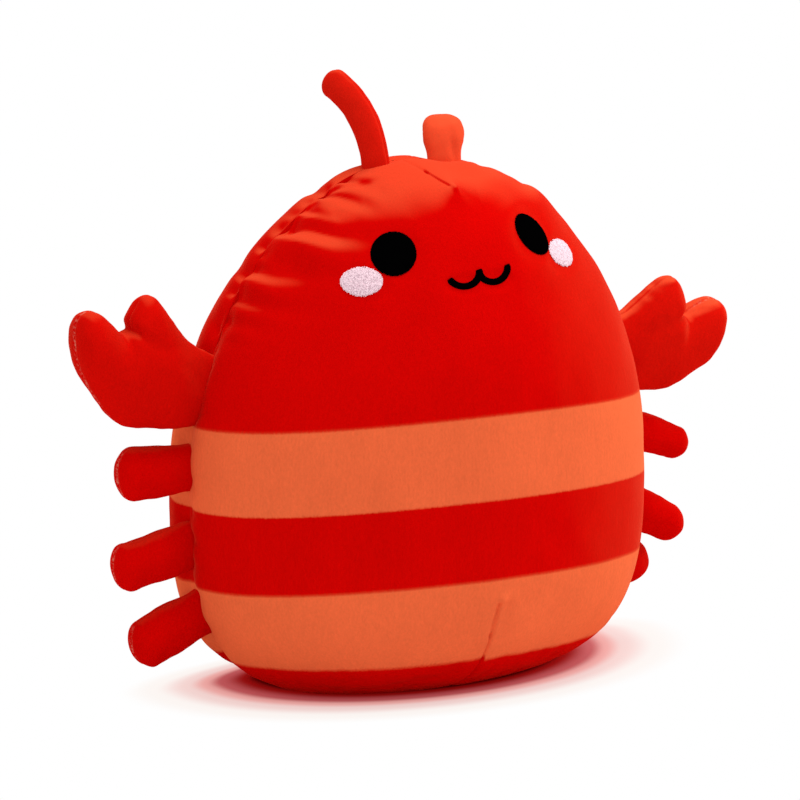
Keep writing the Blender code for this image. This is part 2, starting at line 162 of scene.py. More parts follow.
# The same painted highlight for the side towards the lamp on the right, and its share
SIDE_PAINTED_HIGHLIGHT_WAY = (0.86, -0.44, 0.25)
SIDE_PAINTED_HIGHLIGHT_RANGE = (0.60, 0.98)
SIDE_PAINTED_HIGHLIGHT_SHARE = 0.20
# Shine lost where the pile looks down, and where that starts and is full
SHEEN_LOSS = 0.9
SHEEN_LOSS_RANGE = (0.10, 0.60)
# Share of painted highlight all over a limb, and the share added where it is turned up towards the lamps
LIMB_PAINTED_HIGHLIGHT = {
    "left_antenna": (0.17, 0.5),
    "right_antenna": (1.35, 0.2),
    "left_claw": (0.04, 0.45),
    "right_claw": (0.09, 1.3),
}
LEG_PAINTED_HIGHLIGHT = (0.0, 0.22)

# Face: places and sizes of the solids, and how the embroidery differs from them to suit the photo
FACE_OFFSET = -0.0007
FACE_TILT = 0.04
EYE_SPREAD = 0.0306
CROWN_TO_EYES = 0.0305
EYE_RADIUS = 0.0089
CHEEK_SPREAD = 0.0441
CROWN_TO_CHEEKS = 0.0400
CHEEK_HALF_WIDTH = 0.0086
CHEEK_HALF_HEIGHT = 0.0058
CROWN_TO_MOUTH = 0.0392
MOUTH_ARC_RADIUS = 0.0066
MOUTH_HALF_STROKE = 0.0015
MOUTH_DEPTH_SHARE = 0.84
MOUTH_TILT = 0.055
MOUTH_END_CUT = 0.12
MOUTH_LEAN = 0.16
MOUTH_RISE = 0.0006
MOUTH_STITCH_ARCH = (0.0008, 0.0002)
EYE_WIDTH_SHARES = {-1: 0.98, 1: 0.92}
EYE_HEIGHT_SHARE = 1.04
EYE_RISE = 0.0003
CHEEK_WIDTH_SHARE = 0.95
CHEEK_RISE = 0.0007
# How uneven the ends of the rows of stitches are
EYE_RAGGED = 0.00008
CHEEK_RAGGED = 0.00030
# Padded base of an oval: height, how far its rim sinks into the cover, its rings and its sides
PAD_HEIGHT = 0.0008
PAD_SINK = 0.0006
PAD_FINENESS = (8, 48)
# How high a stitch lies over its base, how far it arches and how deep its ends go in
STITCH_LIFT = 0.0001
STITCH_ARCH = (0.00016, 0.00006)
# Spacing of filling rows and of satin stitches as shares of the thread
ROW_SPACING = 0.82
SATIN_SPACING = 0.72
# Dip that embroidery pulls: depth, where it starts as a share of a piece's half size, and how fast it fades
FACE_PULL = (0.0005, 0.9, 0.35)
EYE_PULL_HALVES = (EYE_RADIUS, EYE_RADIUS * 0.9)
MOUTH_PULL_HALVES = (0.007, 0.003)
MOUTH_PULL_DROP = 0.004

# Camera, fitted to the photo: turn and height in degrees, distance, lens and the aim's offset from its axis
CAMERA_TURN = 27.45
CAMERA_RISE = 11.51
CAMERA_ROLL = -0.35
CAMERA_DISTANCE = 1.79218
CAMERA_LENS = 200.5
CAMERA_ASIDE = (0.003455, -0.113352)
CAMERA_SHIFT = (0.0, 0.002, -0.003)

# Patch of shadow and red glow on the floor: its middle, how much narrower it is from front to back than from
# side to side, and how much more so behind its middle
CONTACT_MIDDLE = (0.010, 0.025)
CONTACT_NARROWING = 1.444
CONTACT_BACK_NARROWING = 2.0
# From the patch to the clean floor, as share of the way and value: the floor's diffuse colour, with painted
# shadow and red bounce near the toy, the painted glow and shadow that the camera sees, and how much of that
# the camera sees. The two ends come first
FLOOR_PAINTED_SHADE = (
    (0.0, (0.22, 0.0, 0.0)), (1.0, (0.80, 0.80, 0.80)), (0.09, (0.55, 0.02, 0.02)),
    (0.26, (0.80, 0.32, 0.32)), (0.50, (0.80, 0.65, 0.63)),
)
FLOOR_PAINTED_GLOW = (
    (0.0, (0.05, 0.0, 0.0)), (1.0, (1.0, 1.0, 1.0)), (0.10, (0.36, 0.004, 0.004)),
    (0.26, (0.58, 0.09, 0.10)), (0.37, (1.0, 0.47, 0.44)), (0.50, (1.0, 0.75, 0.72)),
    (0.73, (1.0, 0.95, 0.92)),
)
FLOOR_CLEAN = ((0.0, 0.45), (1.0, 1.0), (0.26, 0.60), (0.50, 0.80), (0.73, 0.95))
FLOOR_HALF_SIZE = 4.0
FLOOR_DROP = 0.0003

# Lamps: name, width of the disc and place. All aim at the toy
LAMPS = (
    ("key", 1.5, (0.25, -0.15, 1.75)),
    ("side", 0.9, (1.60, -0.30, 0.62)),
    ("fill", 1.0, (-1.30, -0.95, 0.28)),
)
LAMP_AIM = (0.0, 0.0, 0.08)

# Mesh of a cover: columns and rows, where the rows of the flat base lie, how much columns crowd at the seam
# and in the middle, how many cells of the outer face one of the inner face spans, the angle in degrees at
# which its rim is sharp, and how far both rims keep from the seam's middle
COVER_COLUMNS = 288
COVER_ROWS = 290
BASE_SHARES = np.array((0.0, 0.3, 0.55, 0.75, 0.88, 0.96))
COLUMN_CROWDING = 0.4
INNER_STEP = 4
RIM_ANGLE = 55
SEAM_PARTING = 0.00004
# Small step along the body for working out directions
SURFACE_STEP = 0.0004
# How far above and through the smooth front a stitch looks for the cover
FINDER_RISE = 0.01
FINDER_REACH = 0.03

# Side seam: how far its dip reaches, its own groove, and how much shallower both are at the shoulder
SEAM_DIP_REACH = 0.006
SEAM_GROOVE = (0.0006, 0.0009)
SHOULDER_EASING = 0.55
SHOULDER_HEIGHTS = (0.135, 0.165)
# Gathers along the seam: seeds for front and back, first and last place, then ranges of reach, half width,
# strength, slant, shift and spacing
GATHER_SEEDS = (12, 31)
GATHERS_SPAN = (0.008, 0.33)
GATHER_REACHES = (0.006, 0.018)
GATHER_HALF_WIDTHS = (0.0018, 0.0034)
GATHER_STRENGTHS = (0.25, 1.0)
GATHER_SLANTS = (-0.35, 0.35)
GATHER_SHIFTS = (-0.003, 0.003)
GATHER_SPACINGS = (0.0075, 0.0125)
GATHER_SPREAD = 0.12
GATHER_EDGE = 0.0015
# Heights below which folds fade out and the base is drawn flat, and how far the rest clears the floor
BASE_FADE = 0.012
BASE_FLATNESS = 0.004
FLOOR_CLEARANCE = 0.0001
# Lumps of the filling: size, share and seed of each kind, and the small creases low on the body
LUMPS = ((0.034, 1.0, 3), (0.014, 0.5, 7))
BASE_CREASES = 0.0014
BASE_CREASE_SIZE = 0.0065
BASE_CREASE_FLATNESS = (1.0, 1.0, 0.35)
BASE_CREASE_HEIGHTS = (0.034, 0.008)
BASE_CREASE_SEED = 11
# Print that doesn't meet across the base dart: how far it jumps, where, over what width and below what height
PRINT_JUMP = 0.0006
PRINT_JUMP_PLACE = -0.002
PRINT_JUMP_WIDTH = 0.004
PRINT_JUMP_HEIGHTS = (0.045, 0.024)
PRINT_WAVER = 0.0002
PRINT_SOFTNESS = 0.00035
ON_FLOOR = 0.000001


# Sizes and colours to change
def colour_property(name, description, default):
    return FloatVectorProperty(name=name, description=description, subtype="COLOR", size=3, min=0, max=1,
                               default=default)


def length_property(name, description, default, low, high):
    return FloatProperty(name=name, description=description, unit="LENGTH", subtype="DISTANCE", min=low,
                         max=high, default=default)


def share_property(name, description, default, high):
    return FloatProperty(name=name, description=description, subtype="FACTOR", min=0, max=high,
                         default=default)


def power_property(name, description, default):
    return FloatProperty(name=name, description=description, unit="POWER", min=0, max=500, default=default)


class PlushLobsterCloth(bpy.types.PropertyGroup):
    red: colour_property("Red", "Colour of the red pile", (0.590, 0.0010, 0.0006))
    coral: colour_property("Coral", "Colour of the printed stripes", (0.800, 0.128, 0.042))
    # Painted highlight: colour added where the pile faces the lamps
    painted_highlight_colour: colour_property("Painted highlight", "Colour added where the pile is turned up", (0.130, 0.048, 0.016))
    mottling: share_property("Mottling", "How much lighter and darker the pile lies in patches", 0.12, 0.5)
    grain: length_property("Pile grain", "Size of the tufts that the pile lies in", 0.0009, 0.0002, 0.005)
    sheen: share_property("Sheen", "Strength of the velvet's soft shine", 0.30, 1)
    seam_dip: length_property("Seam dip", "How far the seam pulls the cover in", 0.0028, 0, 0.006)
    pucker_depth: length_property("Pucker depth", "Depth of the gathers along the seam", 0.0014, 0, 0.004)
    unevenness: length_property("Unevenness", "How far the filling pushes out in lumps", 0.0006, 0, 0.003)


class PlushLobsterFace(bpy.types.PropertyGroup):
    black: colour_property("Black thread", "Colour of the eyes and the mouth", (0.0006, 0.0005, 0.0006))
    blush: colour_property("Blush thread", "Colour of the cheeks", (0.90, 0.68, 0.74))
    thread: length_property("Thread", "Thickness of the embroidery thread", 0.00042, 0.0002, 0.001)
    stitch: length_property("Stitch", "Length of one filling stitch", 0.0030, 0.001, 0.008)
    sides: IntProperty(name="Thread sides", description="Flat sides round a thread", min=3, max=10, default=5)


class PlushLobsterStage(bpy.types.PropertyGroup):
    key_power: power_property("Key lamp", "Power of the lamp above the toy", 20.0)
    side_power: power_property("Side lamp", "Power of the lamp on the right", 8.3)
    fill_power: power_property("Fill lamp", "Power of the low lamp on the left", 2.2)
    surround: share_property("Surround", "Brightness of the white room around the toy", 0.73, 2)
    # Size of the painted shadow and painted red glow on the floor
    contact: length_property("Contact", "Half width of the dark patch under the toy", 0.065, 0.01, 0.5)
    glow_reach: length_property("Red glow reach", "How far its red and its shadow show", 0.062, 0.01, 0.5)


# Body form
def closing(height, fullest, powers):
    """Share of the full size at a height: 1 at the fullest, 0 at the crown and a little below the floor."""
    crown_power, crown_root, base_power, base_root = powers
    up = np.clip((height - fullest) / (BODY_HEIGHT - fullest), 0, 1)
    down = np.clip((fullest - height) / (fullest + SITTING_SINK), 0, 1)
    above = (1 - up ** crown_power) ** (1 / crown_root)
    below = (1 - down ** base_power) ** (1 / base_root)
    return np.where(height > fullest, above, below)


def half_width(height):
    return BODY_HALF_WIDTH * closing(height, WIDEST_HEIGHT, WIDTH_CLOSING)


def depth(height, back):
    rise = (height / BODY_HEIGHT) ** 2
    front_full = FRONT_DEPTH * (1 + FRONT_CROWN_FULLNESS * rise)
    back_full = BACK_DEPTH * (1 - BACK_CROWN_SLACK * rise)
    return np.where(back, back_full, front_full) * closing(height, DEEPEST_HEIGHT, DEPTH_CLOSING)


def seam_y(height):
    return SEAM_SETBACK - CROWN_LEAN * (height / BODY_HEIGHT) ** 2


def arch(height):
    """How far a printed line at this height rises between the seam and the centre line."""
    share = np.clip(height / BODY_HEIGHT, 0, 1)
    return STRIPE_ARCH * (1 - (1 - share) ** ARCH_BASE_POWER) * (1 - share ** ARCH_CROWN_POWER)


def smooth_body(azimuth, row_height):
    """Points on the body without seams: azimuth 0 and pi lie on the seam, and -pi/2 is the front."""
    across = np.abs(np.cos(azimuth)) ** (2 / SIDE_FULLNESS)
    out = np.abs(np.sin(azimuth)) ** (2 / SIDE_FULLNESS)
    height = np.minimum(BODY_HEIGHT, row_height + arch(row_height) * (1 - across ** 2))
    x = np.copysign(half_width(height) * across, np.cos(azimuth))
    y = np.copysign(depth(height, np.sin(azimuth) > 0) * out, np.sin(azimuth))
    return np.stack([x, seam_y(height) + y, height], -1)


def front_point(x, z, lift=0.0):
    """Point above the smooth front at a place on the face, and the way out from it."""
    def surface(x, z):
        inside = max(0.0, 1 - (abs(x) / float(half_width(z))) ** SIDE_FULLNESS)
        return Vector((x, float(seam_y(z)) - float(depth(z, False)) * inside ** (1 / SIDE_FULLNESS), z))

    sideways = surface(x + SURFACE_STEP, z) - surface(x - SURFACE_STEP, z)
    upwards = surface(x, z + SURFACE_STEP) - surface(x, z - SURFACE_STEP)
    outward = sideways.cross(upwards).normalized()
    return surface(x, z) + outward * lift, outward


def face_frame(x, below_crown):
    """Middle of a piece of the face, and its two directions along the fabric."""
    z = BODY_HEIGHT - below_crown + x * FACE_TILT
    x += FACE_OFFSET
    centre, _ = front_point(x, z)
    across = (front_point(x + SURFACE_STEP, z)[0] - centre).normalized()
    outward = (front_point(x, z, SURFACE_STEP)[0] - centre).normalized()
    return centre, across, outward.cross(across)


def smooth_step(low, high, value):
    share = np.clip((value - low) / (high - low), 0, 1)
    return share * share * (3 - 2 * share)


def bell(value):
    """1 at zero, falling smoothly away on both sides of it."""
    return np.exp(-value ** 2)


def off_line(across, up, start, end):
    """How far along a line each place is, as a share of it, and how far away from it."""
    way = np.subtract(end, start)
    share = np.clip(((across - start[0]) * way[0] + (up - start[1]) * way[1]) / (way @ way), 0, 1)
    return share, np.hypot(across - start[0] - share * way[0], up - start[1] - share * way[1])


def soft_noise(points, size, seed):
    """Smooth noise from -1 to 1 at each point, with lumps of about this size."""
    shift = Vector((seed * 17.3, seed * 5.1, seed * 9.7))
    flat = points.reshape(-1, 3)
    values = [noise.noise(Vector(point) / size + shift) for point in flat.tolist()]
    return np.array(values).reshape(points.shape[:-1])


# Folds drawn on the covers: each from one place to another, in x and height, with its half width and its
# depth at the start and the end. A depth below zero makes a ridge
FRONT_FOLDS = (
    ((-0.0335, 0.2080), (-0.0270, 0.2040), 0.0019, 0.0026, 0.0006),
    ((-0.0430, 0.2020), (-0.0340, 0.1985), 0.0018, 0.0024, 0.0004),
    ((-0.0625, 0.1888), (-0.0400, 0.1880), 0.0027, 0.0034, 0.0006),
    ((-0.0520, 0.1960), (-0.0450, 0.1935), 0.0016, 0.0016, 0.0003),
    ((-0.0800, 0.1725), (-0.0560, 0.1745), 0.0030, 0.0034, 0.0005),
    ((-0.0720, 0.1800), (-0.0640, 0.1775), 0.0018, 0.0018, 0.0003),
    ((-0.0860, 0.1635), (-0.0670, 0.1610), 0.0026, 0.0026, 0.0004),
    ((-0.0895, 0.1560), (-0.0760, 0.1530), 0.0022, 0.0022, 0.0003),
    ((-0.0930, 0.1480), (-0.0830, 0.1470), 0.0020, 0.0016, 0.0002),
    ((-0.0105, 0.2128), (-0.0052, 0.2085), 0.0005, 0.0001, 0.0007),
    ((-0.0052, 0.2085), (-0.0012, 0.2031), 0.0004, 0.0007, 0.0008),
    ((0.0005, 0.2010), (0.0100, 0.1972), 0.0046, -0.0010, -0.0003),
    ((0.0000, 0.2008), (-0.0190, 0.1912), 0.0046, -0.0014, -0.0008),
    ((-0.0006, 0.0462), (-0.0028, 0.0330), 0.0008, 0.0016, 0.0016),
    ((-0.0028, 0.0330), (-0.0022, 0.0040), 0.0006, 0.0014, 0.0006),
    ((0.0036, 0.0450), (0.0014, 0.0300), 0.0022, 0.0010, 0.0005),
    ((0.0120, 0.0440), (0.0240, 0.0500), 0.0030, 0.0007, 0.0002),
    ((0.0180, 0.0360), (0.0330, 0.0400), 0.0034, 0.0006, 0.0002),
)
# Places that stand out: middle in x and height, half width, and how far. Below zero they are sunk in
FRONT_SWELLS = (
    ((0.0006, 0.0481), 0.0019, 0.0012),
    ((-0.0052, 0.0330), 0.0040, 0.0009),
    ((0.0008, 0.2016), 0.0014, 0.0009),
    ((-0.0470, 0.1920), 0.0045, 0.0012),
    ((-0.0560, 0.1835), 0.0065, 0.0019),
    ((-0.0700, 0.1765), 0.0048, 0.0014),
    ((-0.0740, 0.1675), 0.0055, 0.0014),
    ((0.0520, 0.1960), 0.0110, 0.0022),
    ((0.0095, 0.2125), 0.0115, -0.0021),
)
BACK_FOLDS = (
    ((0.0005, 0.2125), (0.0010, 0.1990), 0.0005, 0.0004, 0.0008),
    ((0.0005, 0.0445), (0.0015, 0.0020), 0.0009, 0.0014, 0.0012),
    ((-0.0400, 0.2000), (-0.0280, 0.1960), 0.0026, 0.0014, 0.0003),
    ((0.0620, 0.1870), (0.0450, 0.1850), 0.0030, 0.0016, 0.0003),
    ((-0.0780, 0.1720), (-0.0600, 0.1690), 0.0032, 0.0016, 0.0003),
    ((0.0840, 0.1620), (0.0690, 0.1580), 0.0030, 0.0014, 0.0002),
)
BACK_SWELLS = (
    ((0.0000, 0.0465), 0.0030, 0.0004),
    ((0.0040, 0.1990), 0.0050, 0.0008),
    ((0.0095, 0.2125), 0.0115, -0.0021),
)


def drawn_folds(points, folds, swells):
    """How far the drawn folds pull the cover in, less how far the swells push it out."""
    dip = np.zeros(points.shape[:-1])
    x, z = points[..., 0], points[..., 2]
    for start, end, half, start_depth, end_depth in folds:
        share, away = off_line(x, z, start, end)
        dip += (start_depth + (end_depth - start_depth) * share) * bell(away / (half * (1 + share / 2)))
    for (x0, z0), half, out in swells:
        dip -= out * bell(np.hypot(x - x0, z - z0) / half)
    return dip


def seam_gathers(from_seam, along_seam, left, seed, depth_at_seam):
    """Short folds that the side seam draws out of the cover, uneven in place, length and depth."""
    rng = np.random.default_rng(seed)
    dip = np.zeros(from_seam.shape)
    place, end = GATHERS_SPAN
    while place < end:
        for on_left in (True, False):
            reach = rng.uniform(*GATHER_REACHES)
            half = rng.uniform(*GATHER_HALF_WIDTHS)
            strength = depth_at_seam * rng.uniform(*GATHER_STRENGTHS)
            slant = rng.uniform(*GATHER_SLANTS)
            middle = place + rng.uniform(*GATHER_SHIFTS)
            away = (along_seam - middle - slant * from_seam) / (half + GATHER_SPREAD * from_seam)
            dip += np.where(left == on_left, strength * bell(away) * bell(from_seam / reach), 0.0)
        place += rng.uniform(*GATHER_SPACINGS)
    return dip * (1 - bell(from_seam / GATHER_EDGE))


def face_pull(x, z):
    """Embroidery flattens the pile under it and pulls a shallow dip round it."""
    pull, start, fade = FACE_PULL
    spots = []
    for side in (-1, 1):
        spots.append((side * EYE_SPREAD, CROWN_TO_EYES, *EYE_PULL_HALVES))
        spots.append((side * CHEEK_SPREAD, CROWN_TO_CHEEKS, CHEEK_HALF_WIDTH, CHEEK_HALF_HEIGHT))
        spots.append((side * MOUTH_ARC_RADIUS, CROWN_TO_MOUTH + MOUTH_PULL_DROP, *MOUTH_PULL_HALVES))
    dip = np.zeros(x.shape)
    for x0, below_crown, half_across, half_up in spots:
        z0 = BODY_HEIGHT - below_crown + x0 * FACE_TILT
        away = np.hypot((x - x0 - FACE_OFFSET) / half_across, (z - z0) / half_up)
        dip = np.maximum(dip, pull * bell(np.maximum(0, away - start) / fade))
    return dip


def grid_normals(points, back):
    """Outward directions of a panel's grid, whose rows end in poles."""
    normals = np.cross(np.gradient(points, axis=1), np.gradient(points, axis=0))
    if back:
        normals = -normals
    normals = normals / np.maximum(np.linalg.norm(normals, axis=-1, keepdims=True), 1e-12)
    normals[:len(BASE_SHARES)] = (0, 0, -1)
    normals[-1] = (0, 0, 1)
    return normals


def panel_rows(count):
    """Row heights that are evenly spaced along the front of the body."""
    heights = BODY_HEIGHT * np.sin(np.linspace(0, 1, 4001) * math.pi / 2)
    profile = np.stack([depth(heights, False) * 0.5 + half_width(heights) * 0.5, heights], -1)
    length = travelled(profile)
    return np.interp(np.linspace(0, length[-1], count), length, heights)


def travelled(points):
    """Length of the way to each point along a row of them."""
    steps = np.linalg.norm(np.diff(points, axis=-2), axis=-1)
    return np.concatenate([np.zeros((*steps.shape[:-1], 1)), np.cumsum(steps, axis=-1)], axis=-1)


def cover_grid(back, cloth):
    """Places, outward directions and printed heights of one cover's grid."""
    share = np.linspace(0, 1, COVER_COLUMNS + 1)
    share = share - COLUMN_CROWDING / (4 * math.pi) * np.sin(4 * math.pi * share)
    azimuth = math.pi * (1 - share if back else share - 1)
    around, row = np.meshgrid(azimuth, panel_rows(COVER_ROWS))
    points = smooth_body(around, row)
    pole = np.array([0.0, float(seam_y(0.0)), 0.0])
    points = np.concatenate([pole + (points[0] - pole) * BASE_SHARES[:, None, None], points])
    row = np.concatenate([np.zeros((len(BASE_SHARES), COVER_COLUMNS + 1)), row])
    normals = grid_normals(points, back)

    across = travelled(points)
    from_seam = np.minimum(across, across[:, -1:] - across)
    along_seam = travelled(points[:, 0])[:, None] + np.zeros_like(from_seam)
    x, z = points[..., 0], points[..., 2]
    fade = smooth_step(0.0, BASE_FADE, z)
    shoulder = 1 - SHOULDER_EASING * smooth_step(*SHOULDER_HEIGHTS, z)
    groove, groove_half = SEAM_GROOVE
    dip = shoulder * cloth.seam_dip * bell(from_seam / SEAM_DIP_REACH)
    dip += shoulder * groove * bell(from_seam / groove_half)
    dip += seam_gathers(from_seam, along_seam, x < 0, GATHER_SEEDS[back], cloth.pucker_depth) * fade
    dip += drawn_folds(points, BACK_FOLDS if back else FRONT_FOLDS, BACK_SWELLS if back else FRONT_SWELLS)
    if not back:
        dip += face_pull(x, z)
    for size, strength, seed in LUMPS:
        dip -= cloth.unevenness * strength * soft_noise(points, size, seed) * fade
    creases = soft_noise(points * np.array(BASE_CREASE_FLATNESS), BASE_CREASE_SIZE, BASE_CREASE_SEED)
    low = smooth_step(*BASE_CREASE_HEIGHTS, z) * smooth_step(0.0, BASE_FLATNESS, z)
    dip += BASE_CREASES * low * np.maximum(0, creases)
    dip[z <= ON_FLOOR] = 0.0
    placed = points - normals * (dip * np.minimum(1.0, z / BASE_FLATNESS))[..., None]
    placed[..., 2] = np.maximum(placed[..., 2], np.where(z <= ON_FLOOR, 0.0, FLOOR_CLEARANCE))

    if not back:
        off_dart = x - PRINT_JUMP_PLACE
        jump = PRINT_JUMP * np.sign(off_dart) * bell(off_dart / PRINT_JUMP_WIDTH)
        row = row + jump * smooth_step(*PRINT_JUMP_HEIGHTS, z)
    return placed, normals, row


def new_object(name, mesh):
    made = bpy.data.objects.new(name, mesh)
    bpy.context.scene.collection.objects.link(made)
    return made


def new_mesh(name, vertices, faces):
    mesh = bpy.data.meshes.new(name)
    mesh.from_pydata(vertices, [], faces)
    mesh.shade_smooth()
    return mesh


def keep_values(mesh, name, values):
    """Keeps a number with each vertex, for the material to read."""
    attribute = mesh.attributes.new(name, "FLOAT", "POINT")
    attribute.data.foreach_set("value", np.asarray(values, np.float32))


def make_cover(name, back, cloth):
    """One cover as a closed sheet: a fine outer face, a coarser inner one, and the edge along the seam."""
    placed, normals, printed = cover_grid(back, cloth)
    last, columns = len(placed) - 1, COVER_COLUMNS
    placed[0] = placed[0, 0]
    placed[last] = placed[last].mean(axis=0)
    rim_y = seam_y(placed[:, [0, -1], 2]) + (SEAM_PARTING if back else -SEAM_PARTING)
    placed[:, [0, -1], 1] = rim_y
    inner = placed - normals * FABRIC_THICKNESS
    inner[..., 2] = np.maximum(inner[..., 2], FABRIC_THICKNESS)
    inner[:, [0, -1], 1] = rim_y
    thickness = np.array((0.0, 0.0, FABRIC_THICKNESS))

    keep_rows = sorted({*range(1, last, INNER_STEP), last - 1})
    keep_columns = range(0, columns + 1, INNER_STEP)
    kept = [(r, c) for r in keep_rows for c in keep_columns]
    kept_rows, kept_columns = np.array(kept).T
    crown = 1 + (last - 1) * (columns + 1)
    outer_id = [[0] * (columns + 1)]
    outer_id += [[1 + (r - 1) * (columns + 1) + c for c in range(columns + 1)] for r in range(1, last)]
    outer_id.append([crown] * (columns + 1))
    inner_base = crown + 1
    inner_id = {place: inner_base + 1 + index for index, place in enumerate(kept)}
    inner_crown = inner_base + 1 + len(kept)
    vertices = np.concatenate([
        placed[:1, 0], placed[1:last].reshape(-1, 3), placed[last:, 0], placed[:1, 0] + thickness,
        inner[kept_rows, kept_columns], placed[last:, 0] - thickness,
    ])
    heights = np.concatenate([
        [0.0], printed[1:last].ravel(), printed[last:, 0], [0.0], printed[kept_rows, kept_columns],
        printed[last:, 0],
    ])

    faces = []
    for c in range(columns):
        faces.append((0, outer_id[1][c + 1], outer_id[1][c]))
        for low, high in zip(outer_id[1:last - 1], outer_id[2:last]):
            faces.append((low[c], low[c + 1], high[c + 1], high[c]))
        faces.append((outer_id[last - 1][c], outer_id[last - 1][c + 1], crown))
    for a, b in zip(keep_columns, keep_columns[1:]):
        faces.append((inner_base, inner_id[1, a], inner_id[1, b]))
        for low, high in zip(keep_rows, keep_rows[1:]):
            faces.append((inner_id[low, a], inner_id[high, a], inner_id[high, b], inner_id[low, b]))
        faces.append((inner_id[last - 1, a], inner_crown, inner_id[last - 1, b]))
    for column, flip in ((0, False), (columns, True)):
        rim = [(0, outer_id[1][column], inner_id[1, column], inner_base)]
        for low, high in zip(keep_rows, keep_rows[1:]):
            run = [outer_id[r][column] for r in range(low, high + 1)]
            rim.append((*run, inner_id[high, column], inner_id[low, column]))
        rim.append((outer_id[last - 1][column], crown, inner_crown, inner_id[last - 1, column]))
        faces += [face[::-1] if flip else face for face in rim]
    if back:
        faces = [face[::-1] for face in faces]
    made = new_object(name, new_mesh(name, vertices.tolist(), faces))
    keep_values(made.data, "print_height", heights)
    made.data.set_sharp_from_angle(angle=math.radians(RIM_ANGLE))
    return made


# Limbs
def stuffed_form(name, centres, wide, thick, half_across, half_thick, sides, fullness):
    """A closed tube through rings of its own width and thickness: its seam runs along both narrow edges."""
    angles = np.linspace(0, 2 * math.pi, sides, endpoint=False)
    cos, sin = (np.sign(way) * np.abs(way) ** (2 / fullness) for way in (np.cos(angles), np.sin(angles)))
    rings = (centres[:, None] + wide[:, None] * (half_across[:, None] * cos)[..., None]
             + thick[:, None] * (half_thick[:, None] * sin)[..., None])
    vertices = np.concatenate([centres[:1], rings[1:-1].reshape(-1, 3), centres[-1:]])
    last = len(vertices) - 1
    faces = []
    for s in range(sides):
        t = (s + 1) % sides
        faces.append((0, 1 + t, 1 + s))
        for low in range(1, last - sides, sides):
            faces.append((low + s, low + t, low + sides + t, low + sides + s))
        faces.append((last - sides + s, last - sides + t, last))
    mesh = new_mesh(name, vertices.tolist(), faces)
    mesh.validate()
    made = new_object(name, mesh)
    fix_normals(made)
    return made


def fix_normals(made):
    work = bmesh.new()
    work.from_mesh(made.data)
    bmesh.ops.recalc_face_normals(work, faces=work.faces)
    work.to_mesh(made.data)
    work.free()


def vertex_arrays(mesh):
    """Places and outward directions of a mesh's vertices."""
    places, outward = np.zeros((2, len(mesh.vertices) * 3), np.float32)
    mesh.vertices.foreach_get("co", places)
    mesh.vertex_normals.foreach_get("vector", outward)
    return places.reshape(-1, 3).astype(float), outward.reshape(-1, 3).astype(float)


def move_vertices(mesh, places):
    mesh.vertices.foreach_set("co", places.astype(np.float32).ravel())
    mesh.update()


def mark_painted_highlight(made, base=0.0, strength=1.0):
    """Marks a painted highlight, a warmer and lighter colour where the pile is turned towards the lamps, and
    where it shines.
    """
    places, outward = vertex_arrays(made.data)
    waver, waver_size = PAINTED_HIGHLIGHT_WAVER
    turned = outward @ (np.array(PAINTED_HIGHLIGHT_WAY) / np.linalg.norm(PAINTED_HIGHLIGHT_WAY))
    turned += waver * soft_noise(places, waver_size, PAINTED_HIGHLIGHT_SEED)
    highlight_share = smooth_step(*PAINTED_HIGHLIGHT_RANGE, turned)
    highlight_share += SIDE_PAINTED_HIGHLIGHT_SHARE * smooth_step(*SIDE_PAINTED_HIGHLIGHT_RANGE, outward @ np.array(SIDE_PAINTED_HIGHLIGHT_WAY))
    keep_values(made.data, "pile_catch", base + strength * highlight_share)
    keep_values(made.data, "pile_sheen", 1 - SHEEN_LOSS * smooth_step(*SHEEN_LOSS_RANGE, -outward[:, 2]))


def limb_relief(made, off_seam, along, seed, cloth, worn, dent=0.0, share=1.0):
    """Seam groove, its small gathers and the lumps of the filling on a stuffed limb, less a dent."""
    places, outward = vertex_arrays(made.data)
    keep_values(made.data, "seam_wear", bell(off_seam / WEAR_HALF_WIDTH) * smooth_step(*worn, along))
    groove, groove_half = GROOVE
    gathers, gathers_half = LIMB_GATHERS
    fine, fine_size = FINE_LUMPS
    out = -groove * bell(off_seam / groove_half)
    out -= (gathers * share * np.maximum(0, soft_noise(places, LIMB_GATHER_SIZE, seed + 5))
            * bell(off_seam / gathers_half))
    out += cloth.unevenness * share * soft_noise(places, LIMB_LUMP_SIZE, seed)
    out += fine * soft_noise(places, fine_size, seed + 2)
    move_vertices(made.data, places + outward * (out - dent)[:, None])


def closed_ends(share, length, root_half, tip_half, end_share):
    """What is left of a stuffed tube's width near its ends, which close over this share of its half width."""
    left_over = 1.0
    for away in ((1 - share) * length / (tip_half * end_share), share * length / (root_half * end_share)):
        left_over = left_over * np.sqrt(1 - np.clip(1 - away, 0, 1) ** 2)
    return left_over


def end_spaced(count):
    """Shares from 0 to 1, closer together near both ends."""
    return (1 - np.cos(np.linspace(0, math.pi, count))) / 2


def pinched(beyond, flat, start, end):
    """Thickness near the seam, which is flat there and grows to full outside it."""
    return flat + (1 - flat) * smooth_step(start, end, beyond)


